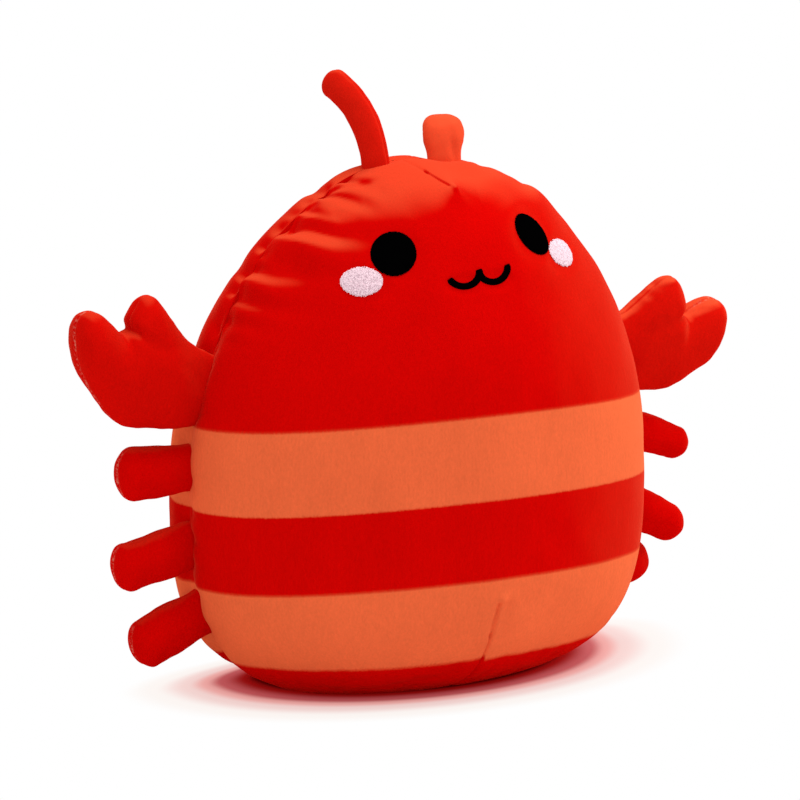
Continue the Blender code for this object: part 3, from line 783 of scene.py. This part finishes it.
def make_leg(name, side, height, reach, root_half, tip_half, droop, swing, seed, cloth):
    down, back = math.radians(droop), math.radians(swing)
    level = math.cos(down)
    outward = np.array([side * level * math.cos(back), level * math.sin(back), -math.sin(down)])
    seam = np.array([side * float(half_width(height)), float(seam_y(height)), height])
    rings, sides = LEG_FINENESS
    share = end_spaced(rings)
    length = LIMB_ROOT_DEPTH + reach
    beyond = share * length - LIMB_ROOT_DEPTH
    wide_way = np.cross((0, 1, 0), outward)
    wide_way /= np.linalg.norm(wide_way)
    thick_way = np.cross(outward, wide_way)
    wide, thick = np.tile(wide_way, (rings, 1)), np.tile(thick_way, (rings, 1))
    radius = root_half + (tip_half - root_half) * smooth_step(0, 1, share)
    radius *= closed_ends(share, length, root_half, tip_half, LEG_END_SHARES[side])
    narrowing, neck_place, neck_length = LEG_NECK
    half_across = radius * (1 - narrowing * bell((beyond - neck_place) / neck_length))
    half_thick = radius * LEG_THICKNESS_SHARE * pinched(beyond, *LEG_PINCH)
    centres = seam + outward * beyond[:, None]
    made = stuffed_form(name, centres, wide, thick, half_across, half_thick, sides, LEG_FULLNESS)
    places = vertex_arrays(made.data)[0] - seam
    worn = [reach - before for before in LEG_WEAR]
    limb_relief(made, np.abs(places @ thick_way), places @ outward, seed, cloth, worn)
    return made


def make_antenna(name, side, offset, root_half, tip_half, bend_height, tip_offset, flatness, seed, cloth):
    outward, back, up = tip_offset
    height = BODY_HEIGHT
    while float(half_width(height)) < offset:
        height -= SURFACE_STEP
    root = np.array([side * offset, float(seam_y(height)), height])
    start = root - (0, 0, ANTENNA_ROOT_DEPTH)
    bend = root + (0, 0, bend_height)
    tip = root + (side * outward, back, up)
    rings, sides = ANTENNA_FINENESS
    share = end_spaced(rings)[:, None]
    lower, upper = start + (bend - start) * share, bend + (tip - bend) * share
    centres = lower + (upper - lower) * share
    ahead = np.gradient(centres, axis=0)
    ahead /= np.linalg.norm(ahead, axis=1, keepdims=True)
    across_bend = np.cross(bend - start, tip - bend)
    wide = np.tile(across_bend / np.linalg.norm(across_bend), (rings, 1))
    thick = np.cross(ahead, wide)
    length = travelled(centres)[-1]
    along = share[:, 0]
    grown = smooth_step(*ANTENNA_GROWTH, along) - 0.5 * smooth_step(*ANTENNA_EASING, along)
    radius = root_half + (tip_half - root_half) * grown
    radius *= closed_ends(along, length, root_half, tip_half, ANTENNA_END_SHARES[side])
    fullness = ANTENNA_FULLNESS[side]
    made = stuffed_form(name, centres, wide, thick, radius, radius * flatness, sides, fullness)

    places, facing = vertex_arrays(made.data)
    dent, (crease_out, crease_up), (half_out, half_up) = ANTENNA_CREASE
    off_crease = np.hypot((places[:, 0] - root[0] - crease_out * side) / half_out,
                          (places[:, 2] - root[2] - crease_up) / half_up)
    crease = dent * bell(off_crease) * (facing[:, 1] < CREASE_FACING) * (side > 0)
    nearest = np.argmin(((places[:, None] - centres[None, ::6]) ** 2).sum(-1), axis=1) * 6
    narrow_way = wide if flatness > 1 else thick
    off_seam = np.abs(np.einsum("ij,ij->i", places - centres[nearest], narrow_way[nearest]))
    worn = [length * part for part in ANTENNA_WEAR]
    limb_relief(made, off_seam, nearest / rings * length, seed, cloth, worn, crease, ANTENNA_RELIEF)
    return made


def make_claw(name, side, drop, tuck, lean, turn, swing, seed, cloth):
    """A mitten with a thumb and a finger, from a coarse cage that is thickened and rounded."""
    columns = len(CLAW_CAGE) - 1
    cage = bmesh.new()
    bmesh.ops.create_grid(cage, x_segments=columns, y_segments=1, size=1.0)
    for vertex in cage.verts:
        outward, up = CLAW_CAGE[round((vertex.co.x + 1) / 2 * columns)][1 if vertex.co.y > 0 else 0]
        vertex.co = Vector((side * outward, 0, up))
    bmesh.ops.recalc_face_normals(cage, faces=cage.faces)
    mesh = bpy.data.meshes.new(name)
    cage.to_mesh(mesh)
    cage.free()
    rough = new_object(name + "_cage", mesh)
    stuffed = rough.modifiers.new("stuffed", "SOLIDIFY")
    stuffed.thickness = CLAW_THICKNESS
    stuffed.offset = 0.0
    rounded = rough.modifiers.new("rounded", "SUBSURF")
    rounded.levels = rounded.render_levels = CLAW_ROUNDING
    made = applied(rough, name)
    made.data.materials.clear()
    fix_normals(made)

    places, _ = vertex_arrays(made.data)
    out, up = places[:, 0] * side, places[:, 2].copy()
    places[:, 1] *= pinched(out, *CLAW_PINCH)
    places[:, 2] += CLAW_BOTTOM_LIFT[side] * smooth_step(*CLAW_LIFTED_HEIGHTS, up)
    move_vertices(made.data, places)
    share, away = off_line(out, places[:, 2], *CLAW_CREASE)
    start_half, end_half = CLAW_CREASE_HALVES
    half = start_half + (end_half - start_half) * share
    dent = CLAW_CREASE_DEPTH * (1 - share * CLAW_CREASE_FADE) * bell(away / half)
    limb_relief(made, np.abs(places[:, 1]), out, seed, cloth, CLAW_WEAR, dent)

    height = CLAW_ROOT_HEIGHT - drop
    place = Matrix.Translation((side * (float(half_width(height)) - tuck), float(seam_y(height)), height))
    lean, turn, swing = (math.radians(angle) for angle in (lean, turn, swing))
    made.data.transform(place @ Euler((lean, -side * turn, side * swing)).to_matrix().to_4x4())
    return made


def applied(rough, name):
    """A plain object with its modifiers applied, in place of the one that has them."""
    evaluated = rough.evaluated_get(bpy.context.evaluated_depsgraph_get())
    mesh = bpy.data.meshes.new_from_object(evaluated)
    bpy.data.objects.remove(rough)
    mesh.name = name
    mesh.shade_smooth()
    return new_object(name, mesh)


# Nodes
class Graph:
    """Adds nodes to a tree. What goes into a node is a value or the output of another node."""

    def __init__(self, tree):
        self.tree = tree

    def feed(self, node, inputs):
        for key, given in inputs.items():
            if isinstance(given, bpy.types.NodeSocket):
                self.tree.links.new(given, node.inputs[key])
            else:
                node.inputs[key].default_value = given

    def add(self, kind, inputs=None, output=0, **settings):
        node = self.tree.nodes.new(kind)
        for name, value in settings.items():
            setattr(node, name, value)
        self.feed(node, inputs or {})
        return node.outputs[output]

    def finish(self, kind, key, result):
        self.feed(self.tree.nodes.new(kind), {key: result})

    def math(self, operation, first, second):
        return self.add("ShaderNodeMath", {0: first, 1: second}, operation=operation)

    def vector(self, operation, first, second):
        return self.add("ShaderNodeVectorMath", {0: first, 1: second}, operation=operation)

    def scaled(self, vector, factor):
        return self.add("ShaderNodeVectorMath", {0: vector, "Scale": factor}, operation="SCALE")

    def ranged(self, source, low, high, to_low=0.0, to_high=1.0):
        given = {"Value": source, "From Min": low, "From Max": high, "To Min": to_low, "To Max": to_high}
        return self.add("ShaderNodeMapRange", given)

    def grain(self, scale, stretch=(1, 1, 1), **inputs):
        place = self.add("ShaderNodeTexCoord", output="Object")
        stretched = self.add("ShaderNodeMapping", {"Vector": place, "Scale": stretch})
        return self.add("ShaderNodeTexNoise", {"Vector": stretched, "Scale": scale, **inputs})

    def ramp(self, source, stops, interpolation="LINEAR"):
        result = self.add("ShaderNodeValToRGB", {"Fac": source})
        ramp = result.node.color_ramp
        ramp.interpolation = interpolation
        for index, (position, colour) in enumerate(stops):
            stop = ramp.elements[index] if index < 2 else ramp.elements.new(position)
            stop.position = position
            stop.color = (*colour, 1.0)
        return result

    def kept(self, name):
        return self.add("ShaderNodeAttribute", output="Fac", attribute_name=name)

    def mixed(self, share, first, second):
        given = {"Factor": share, "A": first, "B": second}
        return self.add("ShaderNodeMix", given, "Result", data_type="RGBA")

    def bump(self, height, distance, strength):
        return self.add("ShaderNodeBump", {"Height": height, "Distance": distance, "Strength": strength})


# Embroidery
def stitch_tree(sides):
    """Turns each edge of a mesh into a stitch that arches over the cloth, in its own outward direction."""
    tree = bpy.data.node_groups.new("stitches_on_edges", "GeometryNodeTree")
    for name, kind in (("Geometry", "Geometry"), ("Thread radius", "Float"), ("Arch height", "Float"),
                       ("Sunk ends", "Float"), ("Thread", "Material")):
        tree.interface.new_socket(name=name, in_out="INPUT", socket_type="NodeSocket" + kind)
    tree.interface.new_socket(name="Geometry", in_out="OUTPUT", socket_type="NodeSocketGeometry")
    graph = Graph(tree)
    given = tree.nodes.new("NodeGroupInput").outputs
    curve = graph.add("GeometryNodeMeshToCurve", {"Mesh": given["Geometry"]})
    curve = graph.add("GeometryNodeResampleCurve", {"Curve": curve, "Count": 7})
    half_turn = graph.math("MULTIPLY", graph.add("GeometryNodeSplineParameter"), math.pi)
    sine = graph.add("ShaderNodeMath", {0: half_turn}, operation="SINE")
    rise = graph.math("MULTIPLY", sine, given["Arch height"])
    outward = graph.add("GeometryNodeInputNamedAttribute", {"Name": "outward"}, "Attribute",
                        data_type="FLOAT_VECTOR")
    lift = graph.scaled(outward, graph.math("SUBTRACT", rise, given["Sunk ends"]))
    curve = graph.add("GeometryNodeSetPosition", {"Geometry": curve, "Offset": lift})
    round_form = {"Radius": given["Thread radius"], "Resolution": sides}
    profile = graph.add("GeometryNodeCurvePrimitiveCircle", round_form)
    given_sweep = {"Curve": curve, "Profile Curve": profile, "Fill Caps": True}
    swept = graph.add("GeometryNodeCurveToMesh", given_sweep)
    threads = graph.add("GeometryNodeRealizeInstances", {"Geometry": swept})
    coated = graph.add("GeometryNodeSetMaterial", {"Geometry": threads, "Material": given["Thread"]})
    graph.finish("NodeGroupOutput", "Geometry", coated)
    return tree


def sew_stitches(name, ends, outward, tree, radius, arch, material):
    """A plain mesh of stitches, from the start and end of each and the cloth's outward direction there."""
    mesh = bpy.data.meshes.new(name + "_lines")
    edges = [(2 * i, 2 * i + 1) for i in range(len(ends))]
    mesh.from_pydata([tuple(point) for pair in ends for point in pair], edges, [])
    attribute = mesh.attributes.new("outward", "FLOAT_VECTOR", "POINT")
    attribute.data.foreach_set("vector", np.repeat(np.array(outward, np.float32), 2, axis=0).ravel())
    lines = new_object(name + "_lines", mesh)
    sewn = lines.modifiers.new("stitches", "NODES")
    sewn.node_group = tree
    given = {"Thread radius": radius, "Arch height": arch[0], "Sunk ends": arch[1], "Thread": material}
    for item in tree.interface.items_tree:
        if item.item_type == "SOCKET" and item.in_out == "INPUT" and item.name in given:
            sewn[item.identifier] = given[item.name]
    return applied(lines, name)


class CoverFinder:
    """Finds the cover's face above or below a place on the smooth front."""

    def __init__(self, cover):
        self.tree = BVHTree.FromObject(cover, bpy.context.evaluated_depsgraph_get())

    def place(self, aim, lift):
        point, outward = front_point(aim.x, aim.z)
        hit, _, _, _ = self.tree.ray_cast(point + outward * FINDER_RISE, -outward, FINDER_REACH)
        if hit is None:
            raise RuntimeError("a stitch misses the cover")
        return hit + outward * lift, outward


def oval_rows(half_across, half_up, spacing, stitch, vertical, ragged, seed):
    """Filling stitches of an oval: rows of stitches, each row shifted against the last like bricks."""
    rng = np.random.default_rng(seed)
    long_half, row_half = (half_up, half_across) if vertical else (half_across, half_up)
    rows = []
    count = int(2 * row_half / spacing)
    for row in range(count + 1):
        offset = -row_half + (row + 0.5) * 2 * row_half / (count + 1)
        reach = long_half * math.sqrt(max(0.0, 1 - (offset / row_half) ** 2)) + rng.uniform(-ragged, ragged)
        start = -reach
        first = stitch * (0.25 + 0.5 * ((row * 0.382) % 1.0))
        while start < reach - spacing * 0.4:
            end = min(reach, start + first)
            if reach - end < spacing:
                end = reach
            wobble = rng.uniform(-0.12, 0.12, 2) * spacing
            pair = ((start, offset + wobble[0]), (end, offset + wobble[1]))
            rows.append(tuple((b, a) for a, b in pair) if vertical else pair)
            start, first = end, stitch * rng.uniform(0.85, 1.15)
    return rows


def make_oval(name, place, halves, vertical, ragged, seed, finder, tree, material, sizes):
    """One embroidered oval: a low padded base under rows of filling stitches."""
    centre, across, up = face_frame(*place)
    half_across, half_up = halves

    def spot(u, v, lift):
        return finder.place(centre + across * u + up * v, lift)

    def dome(u, v):
        return PAD_HEIGHT * math.sqrt(max(0.0, 1 - (u / half_across) ** 2 - (v / half_up) ** 2))

    rings, sides = PAD_FINENESS
    vertices, faces = [tuple(spot(0, 0, PAD_HEIGHT)[0])], []
    for ring in range(1, rings + 1):
        share = ring / rings
        lift = PAD_HEIGHT * math.sqrt(1 - share ** 2) - (PAD_SINK if ring == rings else 0.0)
        wide, tall = ((half - sizes.thread * 0.3) * share for half in halves)
        for s in range(sides):
            angle = 2 * math.pi * s / sides
            vertices.append(tuple(spot(wide * math.cos(angle), tall * math.sin(angle), lift)[0]))
    rim = len(vertices) - sides
    for s in range(sides):
        t = (s + 1) % sides
        faces.append((0, 1 + s, 1 + t))
        for low in range(1, rim, sides):
            faces.append((low + s, low + sides + s, low + sides + t, low + t))
    faces.append(tuple(rim + s for s in reversed(range(sides))))
    base = new_object(name, new_mesh(name, vertices, faces))
    base.data.materials.append(material)

    ends, outward = [], []
    for pair in oval_rows(*halves, sizes.thread * ROW_SPACING, sizes.stitch, vertical, ragged, seed):
        (start, way), (end, _) = (spot(u, v, dome(u, v) + STITCH_LIFT) for u, v in pair)
        ends.append((start, end))
        outward.append(tuple(way))
    join(base, sew_stitches(name + "_stitches", ends, outward, tree, sizes.thread / 2, STITCH_ARCH, material))
    return base


def join(keep, other):
    """Joins another mesh into an object."""
    work = bmesh.new()
    work.from_mesh(keep.data)
    work.from_mesh(other.data)
    bpy.data.objects.remove(other)
    work.to_mesh(keep.data)
    work.free()
    keep.data.shade_smooth()


def make_mouth(name, finder, tree, material, sizes):
    """Two arcs of satin stitches laid across the stroke. The left one ends a little earlier."""
    centre, across, up = face_frame(0.0, CROWN_TO_MOUTH - MOUTH_RISE)
    middle = MOUTH_ARC_RADIUS - MOUTH_HALF_STROKE * 0.1
    steps = int(math.pi * MOUTH_ARC_RADIUS / (sizes.thread * SATIN_SPACING))
    ends, outward = [], []
    for side, cut in ((-1, MOUTH_END_CUT), (1, 0.0)):
        for step in range(steps + 1):
            share = step / steps
            angle = math.pi * (1 + cut + (1 - cut) * share)
            width = MOUTH_HALF_STROKE * min(1.0, 4 * math.sin(math.pi * min(0.98, max(0.02, share))) + 0.55)
            pair = []
            for sign in (-1, 1):
                ray = MOUTH_ARC_RADIUS + sign * width
                turned = angle + sign * MOUTH_LEAN * width / MOUTH_ARC_RADIUS
                aside = side * middle + ray * math.cos(turned)
                rise = ray * math.sin(turned) * MOUTH_DEPTH_SHARE + aside * MOUTH_TILT
                point, way = finder.place(centre + across * aside + up * rise, STITCH_LIFT)
                pair.append(point)
            ends.append(tuple(pair))
            outward.append(tuple(way))
    return sew_stitches(name, ends, outward, tree, sizes.thread / 2, MOUTH_STITCH_ARCH, material)


# Materials
def new_material(name):
    material = bpy.data.materials.new(name)
    material.use_nodes = True
    return material, Graph(material.node_tree), material.node_tree.nodes["Principled BSDF"]


def pile_material(name, cloth, striped):
    """Short velvety pile: a grain that lies in tufts, a broad mottling, printed stripes where asked, and a
    painted highlight where it faces the lamps.
    """
    material, graph, shader = new_material(name)
    tufts = graph.grain(1.1 / cloth.grain, (1, 1, 0.6), Detail=3.0, Roughness=0.6)
    streaks = graph.grain(0.5 / cloth.grain, (1.6, 1.6, 0.2), Detail=2.0, Roughness=0.6)
    patches = graph.grain(38.0, (1, 1, 0.7), Detail=3.0, Roughness=0.6)
    shade = 1.0
    for source, darker, lighter in ((tufts, 0.5, 0.45), (streaks, 0.22, 0.18), (patches, 0.4, 0.35)):
        dark, light = 1 - cloth.mottling * darker, 1 + cloth.mottling * lighter
        shade = graph.math("MULTIPLY", shade, graph.ranged(source, 0.3, 0.7, dark, light))

    colour = tuple(cloth.red)
    if striped:
        waver = graph.ranged(tufts, 0.3, 0.7, -PRINT_WAVER, PRINT_WAVER)
        wavering = graph.math("ADD", graph.kept("print_height"), waver)
        pair = (tuple(cloth.red), tuple(cloth.coral))
        stops = [(0.0, pair[0]), (1.0, pair[0])]
        for index, edge in enumerate(STRIPE_EDGES):
            stops.append(((edge - PRINT_SOFTNESS) / BODY_HEIGHT, pair[index % 2]))
            stops.append(((edge + PRINT_SOFTNESS) / BODY_HEIGHT, pair[1 - index % 2]))
        colour = graph.ramp(graph.ranged(wavering, 0.0, BODY_HEIGHT), stops)
    # Painted highlight: a warmer, lighter colour added where the pile faces the lamps
    highlight_tint = graph.scaled(tuple(cloth.painted_highlight_colour), graph.kept("pile_catch"))
    highlighted = graph.vector("ADD", graph.scaled(colour, shade), highlight_tint)
    thin = graph.ranged(graph.grain(800.0, Detail=2.0, Roughness=0.6), 0.46, 0.66, 0.0, 0.6)
    worn = graph.math("MULTIPLY", graph.kept("seam_wear"), thin)
    graph.feed(shader, {
        "Base Color": graph.mixed(worn, highlighted, (0.74, 0.32, 0.22, 1.0)),
        "Roughness": 0.95,
        "Specular IOR Level": 0.0,
        "Sheen Weight": graph.ranged(graph.kept("pile_sheen"), 0.0, 1.0, 0.0, cloth.sheen),
        "Sheen Roughness": 0.28,
        "Sheen Tint": (1.0, 0.26, 0.13, 1.0),
        "Normal": graph.bump(graph.math("ADD", tufts, streaks), 0.00035, 0.35),
    })
    return material


def thread_material(name, colour, gloss, variation, hole_shade):
    """Embroidery thread: fine fibres along the stitches, and darker spots of painted shade where the needle
    went in.
    """
    material, graph, shader = new_material(name)
    fibres = graph.grain(2600.0)
    tint = graph.scaled(colour, graph.ranged(fibres, 0.3, 0.7, 1 - variation, 1 + variation))
    # Painted shade: darker spots where the needle went in
    painted_hole_shade = graph.ranged(graph.grain(1500.0), 0.46, 0.66, 0.0, hole_shade)
    graph.feed(shader, {
        "Base Color": graph.mixed(painted_hole_shade, tint, (colour[0] * 0.42, colour[1] * 0.30, colour[2] * 0.36, 1.0)),
        "Roughness": 0.6,
        "Specular IOR Level": gloss,
        "Normal": graph.bump(fibres, 0.0001, 0.3),
    })
    return material


def fibre_material(name):
    """Loose polyester fibre: white, matt and tangled."""
    material, graph, shader = new_material(name)
    tangle = graph.grain(400.0, Detail=6.0, Distortion=2.0)
    colour = graph.ramp(tangle, ((0.0, (0.62, 0.62, 0.61)), (1.0, (0.88, 0.88, 0.87))))
    graph.feed(shader, {"Base Color": colour, "Roughness": 0.95, "Normal": graph.bump(tangle, 0.0008, 1.0)})
    return material


def shared_material(name, maker, *arguments):
    found = bpy.data.materials.get(name)
    return found if found is not None else maker(name, *arguments)


def shared_tree(sides):
    found = bpy.data.node_groups.get("stitches_on_edges")
    return found if found is not None else stitch_tree(sides)


# Operators
def stuff_limbs(context, sizes_of, maker, first_seed):
    """Makes each limb of one kind in place of its solid."""
    cloth = context.scene.lobster_cloth
    pile = shared_material("pile_red", pile_material, cloth, False)
    for seed, (node, sizes) in enumerate(sizes_of.items(), first_seed):
        made = maker(node + "_stuffed", *sizes, seed, cloth)
        made.data.materials.append(pile)
        # Painted highlight where the limb faces the lamps
        mark_painted_highlight(made, *LIMB_PAINTED_HIGHLIGHT.get(node, LEG_PAINTED_HIGHLIGHT))
        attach(made, "root")
        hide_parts(node)
    return {"FINISHED"}


class LOBSTER_OT_body(bpy.types.Operator):
    """Make the front and back covers with their printed stripes, seam, gathers and darts"""
    bl_idname = "lobster.body"
    bl_label = "Body covers"

    def execute(self, context):
        cloth = context.scene.lobster_cloth
        pile = shared_material("pile_striped", pile_material, cloth, True)
        for name, back in (("front", False), ("back", True)):
            cover = make_cover(name + "_cover", back, cloth)
            cover.data.materials.append(pile)
            # Painted highlight where the cover faces the lamps
            mark_painted_highlight(cover)
            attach(cover, "root")
            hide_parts(name + "_panel")
        fibre = shared_material("tangled_fibre", fibre_material)
        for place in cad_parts["filling"].material_slots:
            place.material = fibre
        return {"FINISHED"}


class LOBSTER_OT_legs(bpy.types.Operator):
    """Make the six stuffed legs"""
    bl_idname = "lobster.legs"
    bl_label = "Legs"

    def execute(self, context):
        return stuff_limbs(context, LEGS, make_leg, 20)


class LOBSTER_OT_claws(bpy.types.Operator):
    """Make the two stuffed mittens"""
    bl_idname = "lobster.claws"
    bl_label = "Claws"

    def execute(self, context):
        return stuff_limbs(context, CLAWS, make_claw, 40)


class LOBSTER_OT_antennae(bpy.types.Operator):
    """Make the two stuffed antennae"""
    bl_idname = "lobster.antennae"
    bl_label = "Antennae"

    def execute(self, context):
        return stuff_limbs(context, ANTENNAE, make_antenna, 50)


class LOBSTER_OT_face(bpy.types.Operator):
    """Embroider the eyes, cheeks and mouth on the front cover"""
    bl_idname = "lobster.face"
    bl_label = "Face"

    def execute(self, context):
        sizes = context.scene.lobster_face
        finder = CoverFinder(bpy.data.objects["front_cover"])
        tree = shared_tree(sizes.sides)
        black = shared_material("thread_black", thread_material, tuple(sizes.black), 0.0, 0.3, 0.0)
        blush = shared_material("thread_blush", thread_material, tuple(sizes.blush), 0.3, 0.10, 0.5)
        for side, word in ((-1, "left"), (1, "right")):
            eye = ((side * EYE_SPREAD, CROWN_TO_EYES - EYE_RISE),
                   (EYE_RADIUS * EYE_WIDTH_SHARES[side], EYE_RADIUS * EYE_HEIGHT_SHARE),
                   False, EYE_RAGGED, 60 + side)
            cheek = ((side * CHEEK_SPREAD, CROWN_TO_CHEEKS - CHEEK_RISE),
                     (CHEEK_HALF_WIDTH * CHEEK_WIDTH_SHARE, CHEEK_HALF_HEIGHT),
                     True, CHEEK_RAGGED, 70 + side)
            for part, form, thread, slot in (("_eye", eye, black, "black_thread"),
                                             ("_cheek", cheek, blush, "blush_thread")):
                made = make_oval(word + part + "_embroidery", *form, finder, tree, thread, sizes)
                self.settle(made, word + part, slot)
        self.settle(make_mouth("mouth_embroidery", finder, tree, black, sizes), "mouth", "black_thread")
        return {"FINISHED"}

    def settle(self, piece, node, slot):
        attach(piece, "root")
        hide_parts(node)


class LOBSTER_OT_stage(bpy.types.Operator):
    """Set the pale floor, the white surround, the lamps and the camera"""
    bl_idname = "lobster.stage"
    bl_label = "Studio"

    def execute(self, context):
        stage = context.scene.lobster_stage
        context.scene.view_settings.view_transform = "Standard"
        self.floor(stage)
        self.surround(context, stage)
        self.lamps(stage)
        self.camera(context)
        return {"FINISHED"}

    def floor(self, stage):
        """A white floor with a patch of shadow and red glow in its material."""
        work = bmesh.new()
        bmesh.ops.create_grid(work, x_segments=8, y_segments=8, size=FLOOR_HALF_SIZE)
        mesh = bpy.data.meshes.new("studio_floor")
        work.to_mesh(mesh)
        work.free()
        mesh.transform(Matrix.Translation((0, 0, -FLOOR_DROP)))
        made = new_object("studio_floor", mesh)
        material = bpy.data.materials.new("floor_white")
        material.use_nodes = True
        material.node_tree.nodes.clear()
        graph = Graph(material.node_tree)
        aside, behind = CONTACT_MIDDLE
        from_middle = graph.add("ShaderNodeMapping", {
            "Vector": graph.add("ShaderNodeTexCoord", output="Object"),
            "Scale": (1.0, CONTACT_NARROWING, 0.0),
            "Location": (-aside, -behind * CONTACT_NARROWING, 0.0),
        })
        mirrored = graph.vector("MULTIPLY", from_middle, (1.0, -1.0, 1.0))
        narrower = graph.vector("MULTIPLY", mirrored, (1.0, -CONTACT_BACK_NARROWING, 1.0))
        longer = graph.vector("MAXIMUM", mirrored, narrower)
        away = graph.add("ShaderNodeVectorMath", {0: longer}, "Value", operation="LENGTH")
        beyond = graph.ranged(away, stage.contact, stage.contact + stage.glow_reach)
        clean = graph.ramp(beyond, [(position, (value,) * 3) for position, value in FLOOR_CLEAN], "EASE")
        seen = graph.add("ShaderNodeLightPath", output="Is Camera Ray")
        # The camera sees painted shadow and painted red glow near the toy, mixed with the lit floor, whose
        # diffuse colour carries painted shadow too
        graph.finish("ShaderNodeOutputMaterial", "Surface", graph.add("ShaderNodeMixShader", {
            "Fac": graph.math("MULTIPLY", seen, clean),
            1: graph.add("ShaderNodeBsdfDiffuse", {"Color": graph.ramp(beyond, FLOOR_PAINTED_SHADE, "EASE")}),
            2: graph.add("ShaderNodeEmission", {"Color": graph.ramp(beyond, FLOOR_PAINTED_GLOW, "EASE")}),
        }))
        mesh.materials.append(material)

    def surround(self, context, stage):
        """A white room: full white where it is seen, and dimmer as a light."""
        world = bpy.data.worlds.new("white_room")
        context.scene.world = world
        world.use_nodes = True
        world.node_tree.nodes.clear()
        graph = Graph(world.node_tree)
        seen = 0.0
        for ray in ("Is Camera Ray", "Is Glossy Ray", "Is Transmission Ray"):
            seen = graph.math("MAXIMUM", seen, graph.add("ShaderNodeLightPath", output=ray))
        white = (1.0, 1.0, 1.0, 1.0)
        graph.finish("ShaderNodeOutputWorld", "Surface", graph.add("ShaderNodeMixShader", {
            "Fac": seen,
            1: graph.add("ShaderNodeBackground", {"Color": white, "Strength": stage.surround}),
            2: graph.add("ShaderNodeBackground", {"Color": white, "Strength": 1.0}),
        }))

    def lamps(self, stage):
        for name, width, place in LAMPS:
            light = bpy.data.lights.new(name, "AREA")
            light.energy = getattr(stage, name + "_power")
            light.shape = "DISK"
            light.size = width
            lamp = new_object(name, light)
            lamp.location = place
            lamp.rotation_euler = (Vector(LAMP_AIM) - Vector(place)).to_track_quat("-Z", "Y").to_euler()

    def camera(self, context):
        turn, rise, roll = (math.radians(a) for a in (CAMERA_TURN, CAMERA_RISE, CAMERA_ROLL))
        ahead = Vector((math.sin(turn) * math.cos(rise), math.cos(turn) * math.cos(rise), -math.sin(rise)))
        level = Vector((math.cos(turn), -math.sin(turn), 0.0))
        upright = level.cross(ahead)
        right = level * math.cos(roll) + upright * math.sin(roll)
        up = upright * math.cos(roll) - level * math.sin(roll)
        lens = bpy.data.cameras.new("camera")
        lens.lens = CAMERA_LENS
        lens.sensor_width = 36.0
        lens.clip_start, lens.clip_end = 0.05, 50.0
        made = new_object("camera", lens)
        aside, below = CAMERA_ASIDE
        place = Vector(CAMERA_SHIFT) - right * aside - up * below - ahead * CAMERA_DISTANCE
        made.matrix_world = Matrix.Translation(place) @ Matrix((right, up, -ahead)).transposed().to_4x4()
        context.scene.camera = made


class LOBSTER_PT_maker(bpy.types.Panel):
    """Lists the steps that make the toy, and its sizes and colours"""
    bl_idname = "LOBSTER_PT_maker"
    bl_label = "Plush Lobster"
    bl_space_type = "VIEW_3D"
    bl_region_type = "UI"
    bl_category = "Plush Lobster"

    def draw(self, context):
        for operator in STEPS:
            self.layout.operator(operator.bl_idname)
        for group in (context.scene.lobster_cloth, context.scene.lobster_face, context.scene.lobster_stage):
            box = self.layout.box()
            for name in group.__annotations__:
                box.prop(group, name)


STEPS = (
    LOBSTER_OT_body, LOBSTER_OT_legs, LOBSTER_OT_claws, LOBSTER_OT_antennae, LOBSTER_OT_face,
    LOBSTER_OT_stage,
)
GROUPS = {
    "lobster_cloth": PlushLobsterCloth,
    "lobster_face": PlushLobsterFace,
    "lobster_stage": PlushLobsterStage,
}


def register():
    for kept in (*GROUPS.values(), *STEPS, LOBSTER_PT_maker):
        bpy.utils.register_class(kept)
    for name, group in GROUPS.items():
        setattr(bpy.types.Scene, name, PointerProperty(type=group))


def unregister():
    for name in GROUPS:
        delattr(bpy.types.Scene, name)
    for kept in reversed((*GROUPS.values(), *STEPS, LOBSTER_PT_maker)):
        bpy.utils.unregister_class(kept)


def main():
    register()
    bpy.ops.lobster.body()
    bpy.ops.lobster.legs()
    bpy.ops.lobster.claws()
    bpy.ops.lobster.antennae()
    bpy.ops.lobster.face()
    bpy.ops.lobster.stage()


if __name__ == "__main__":
    main()
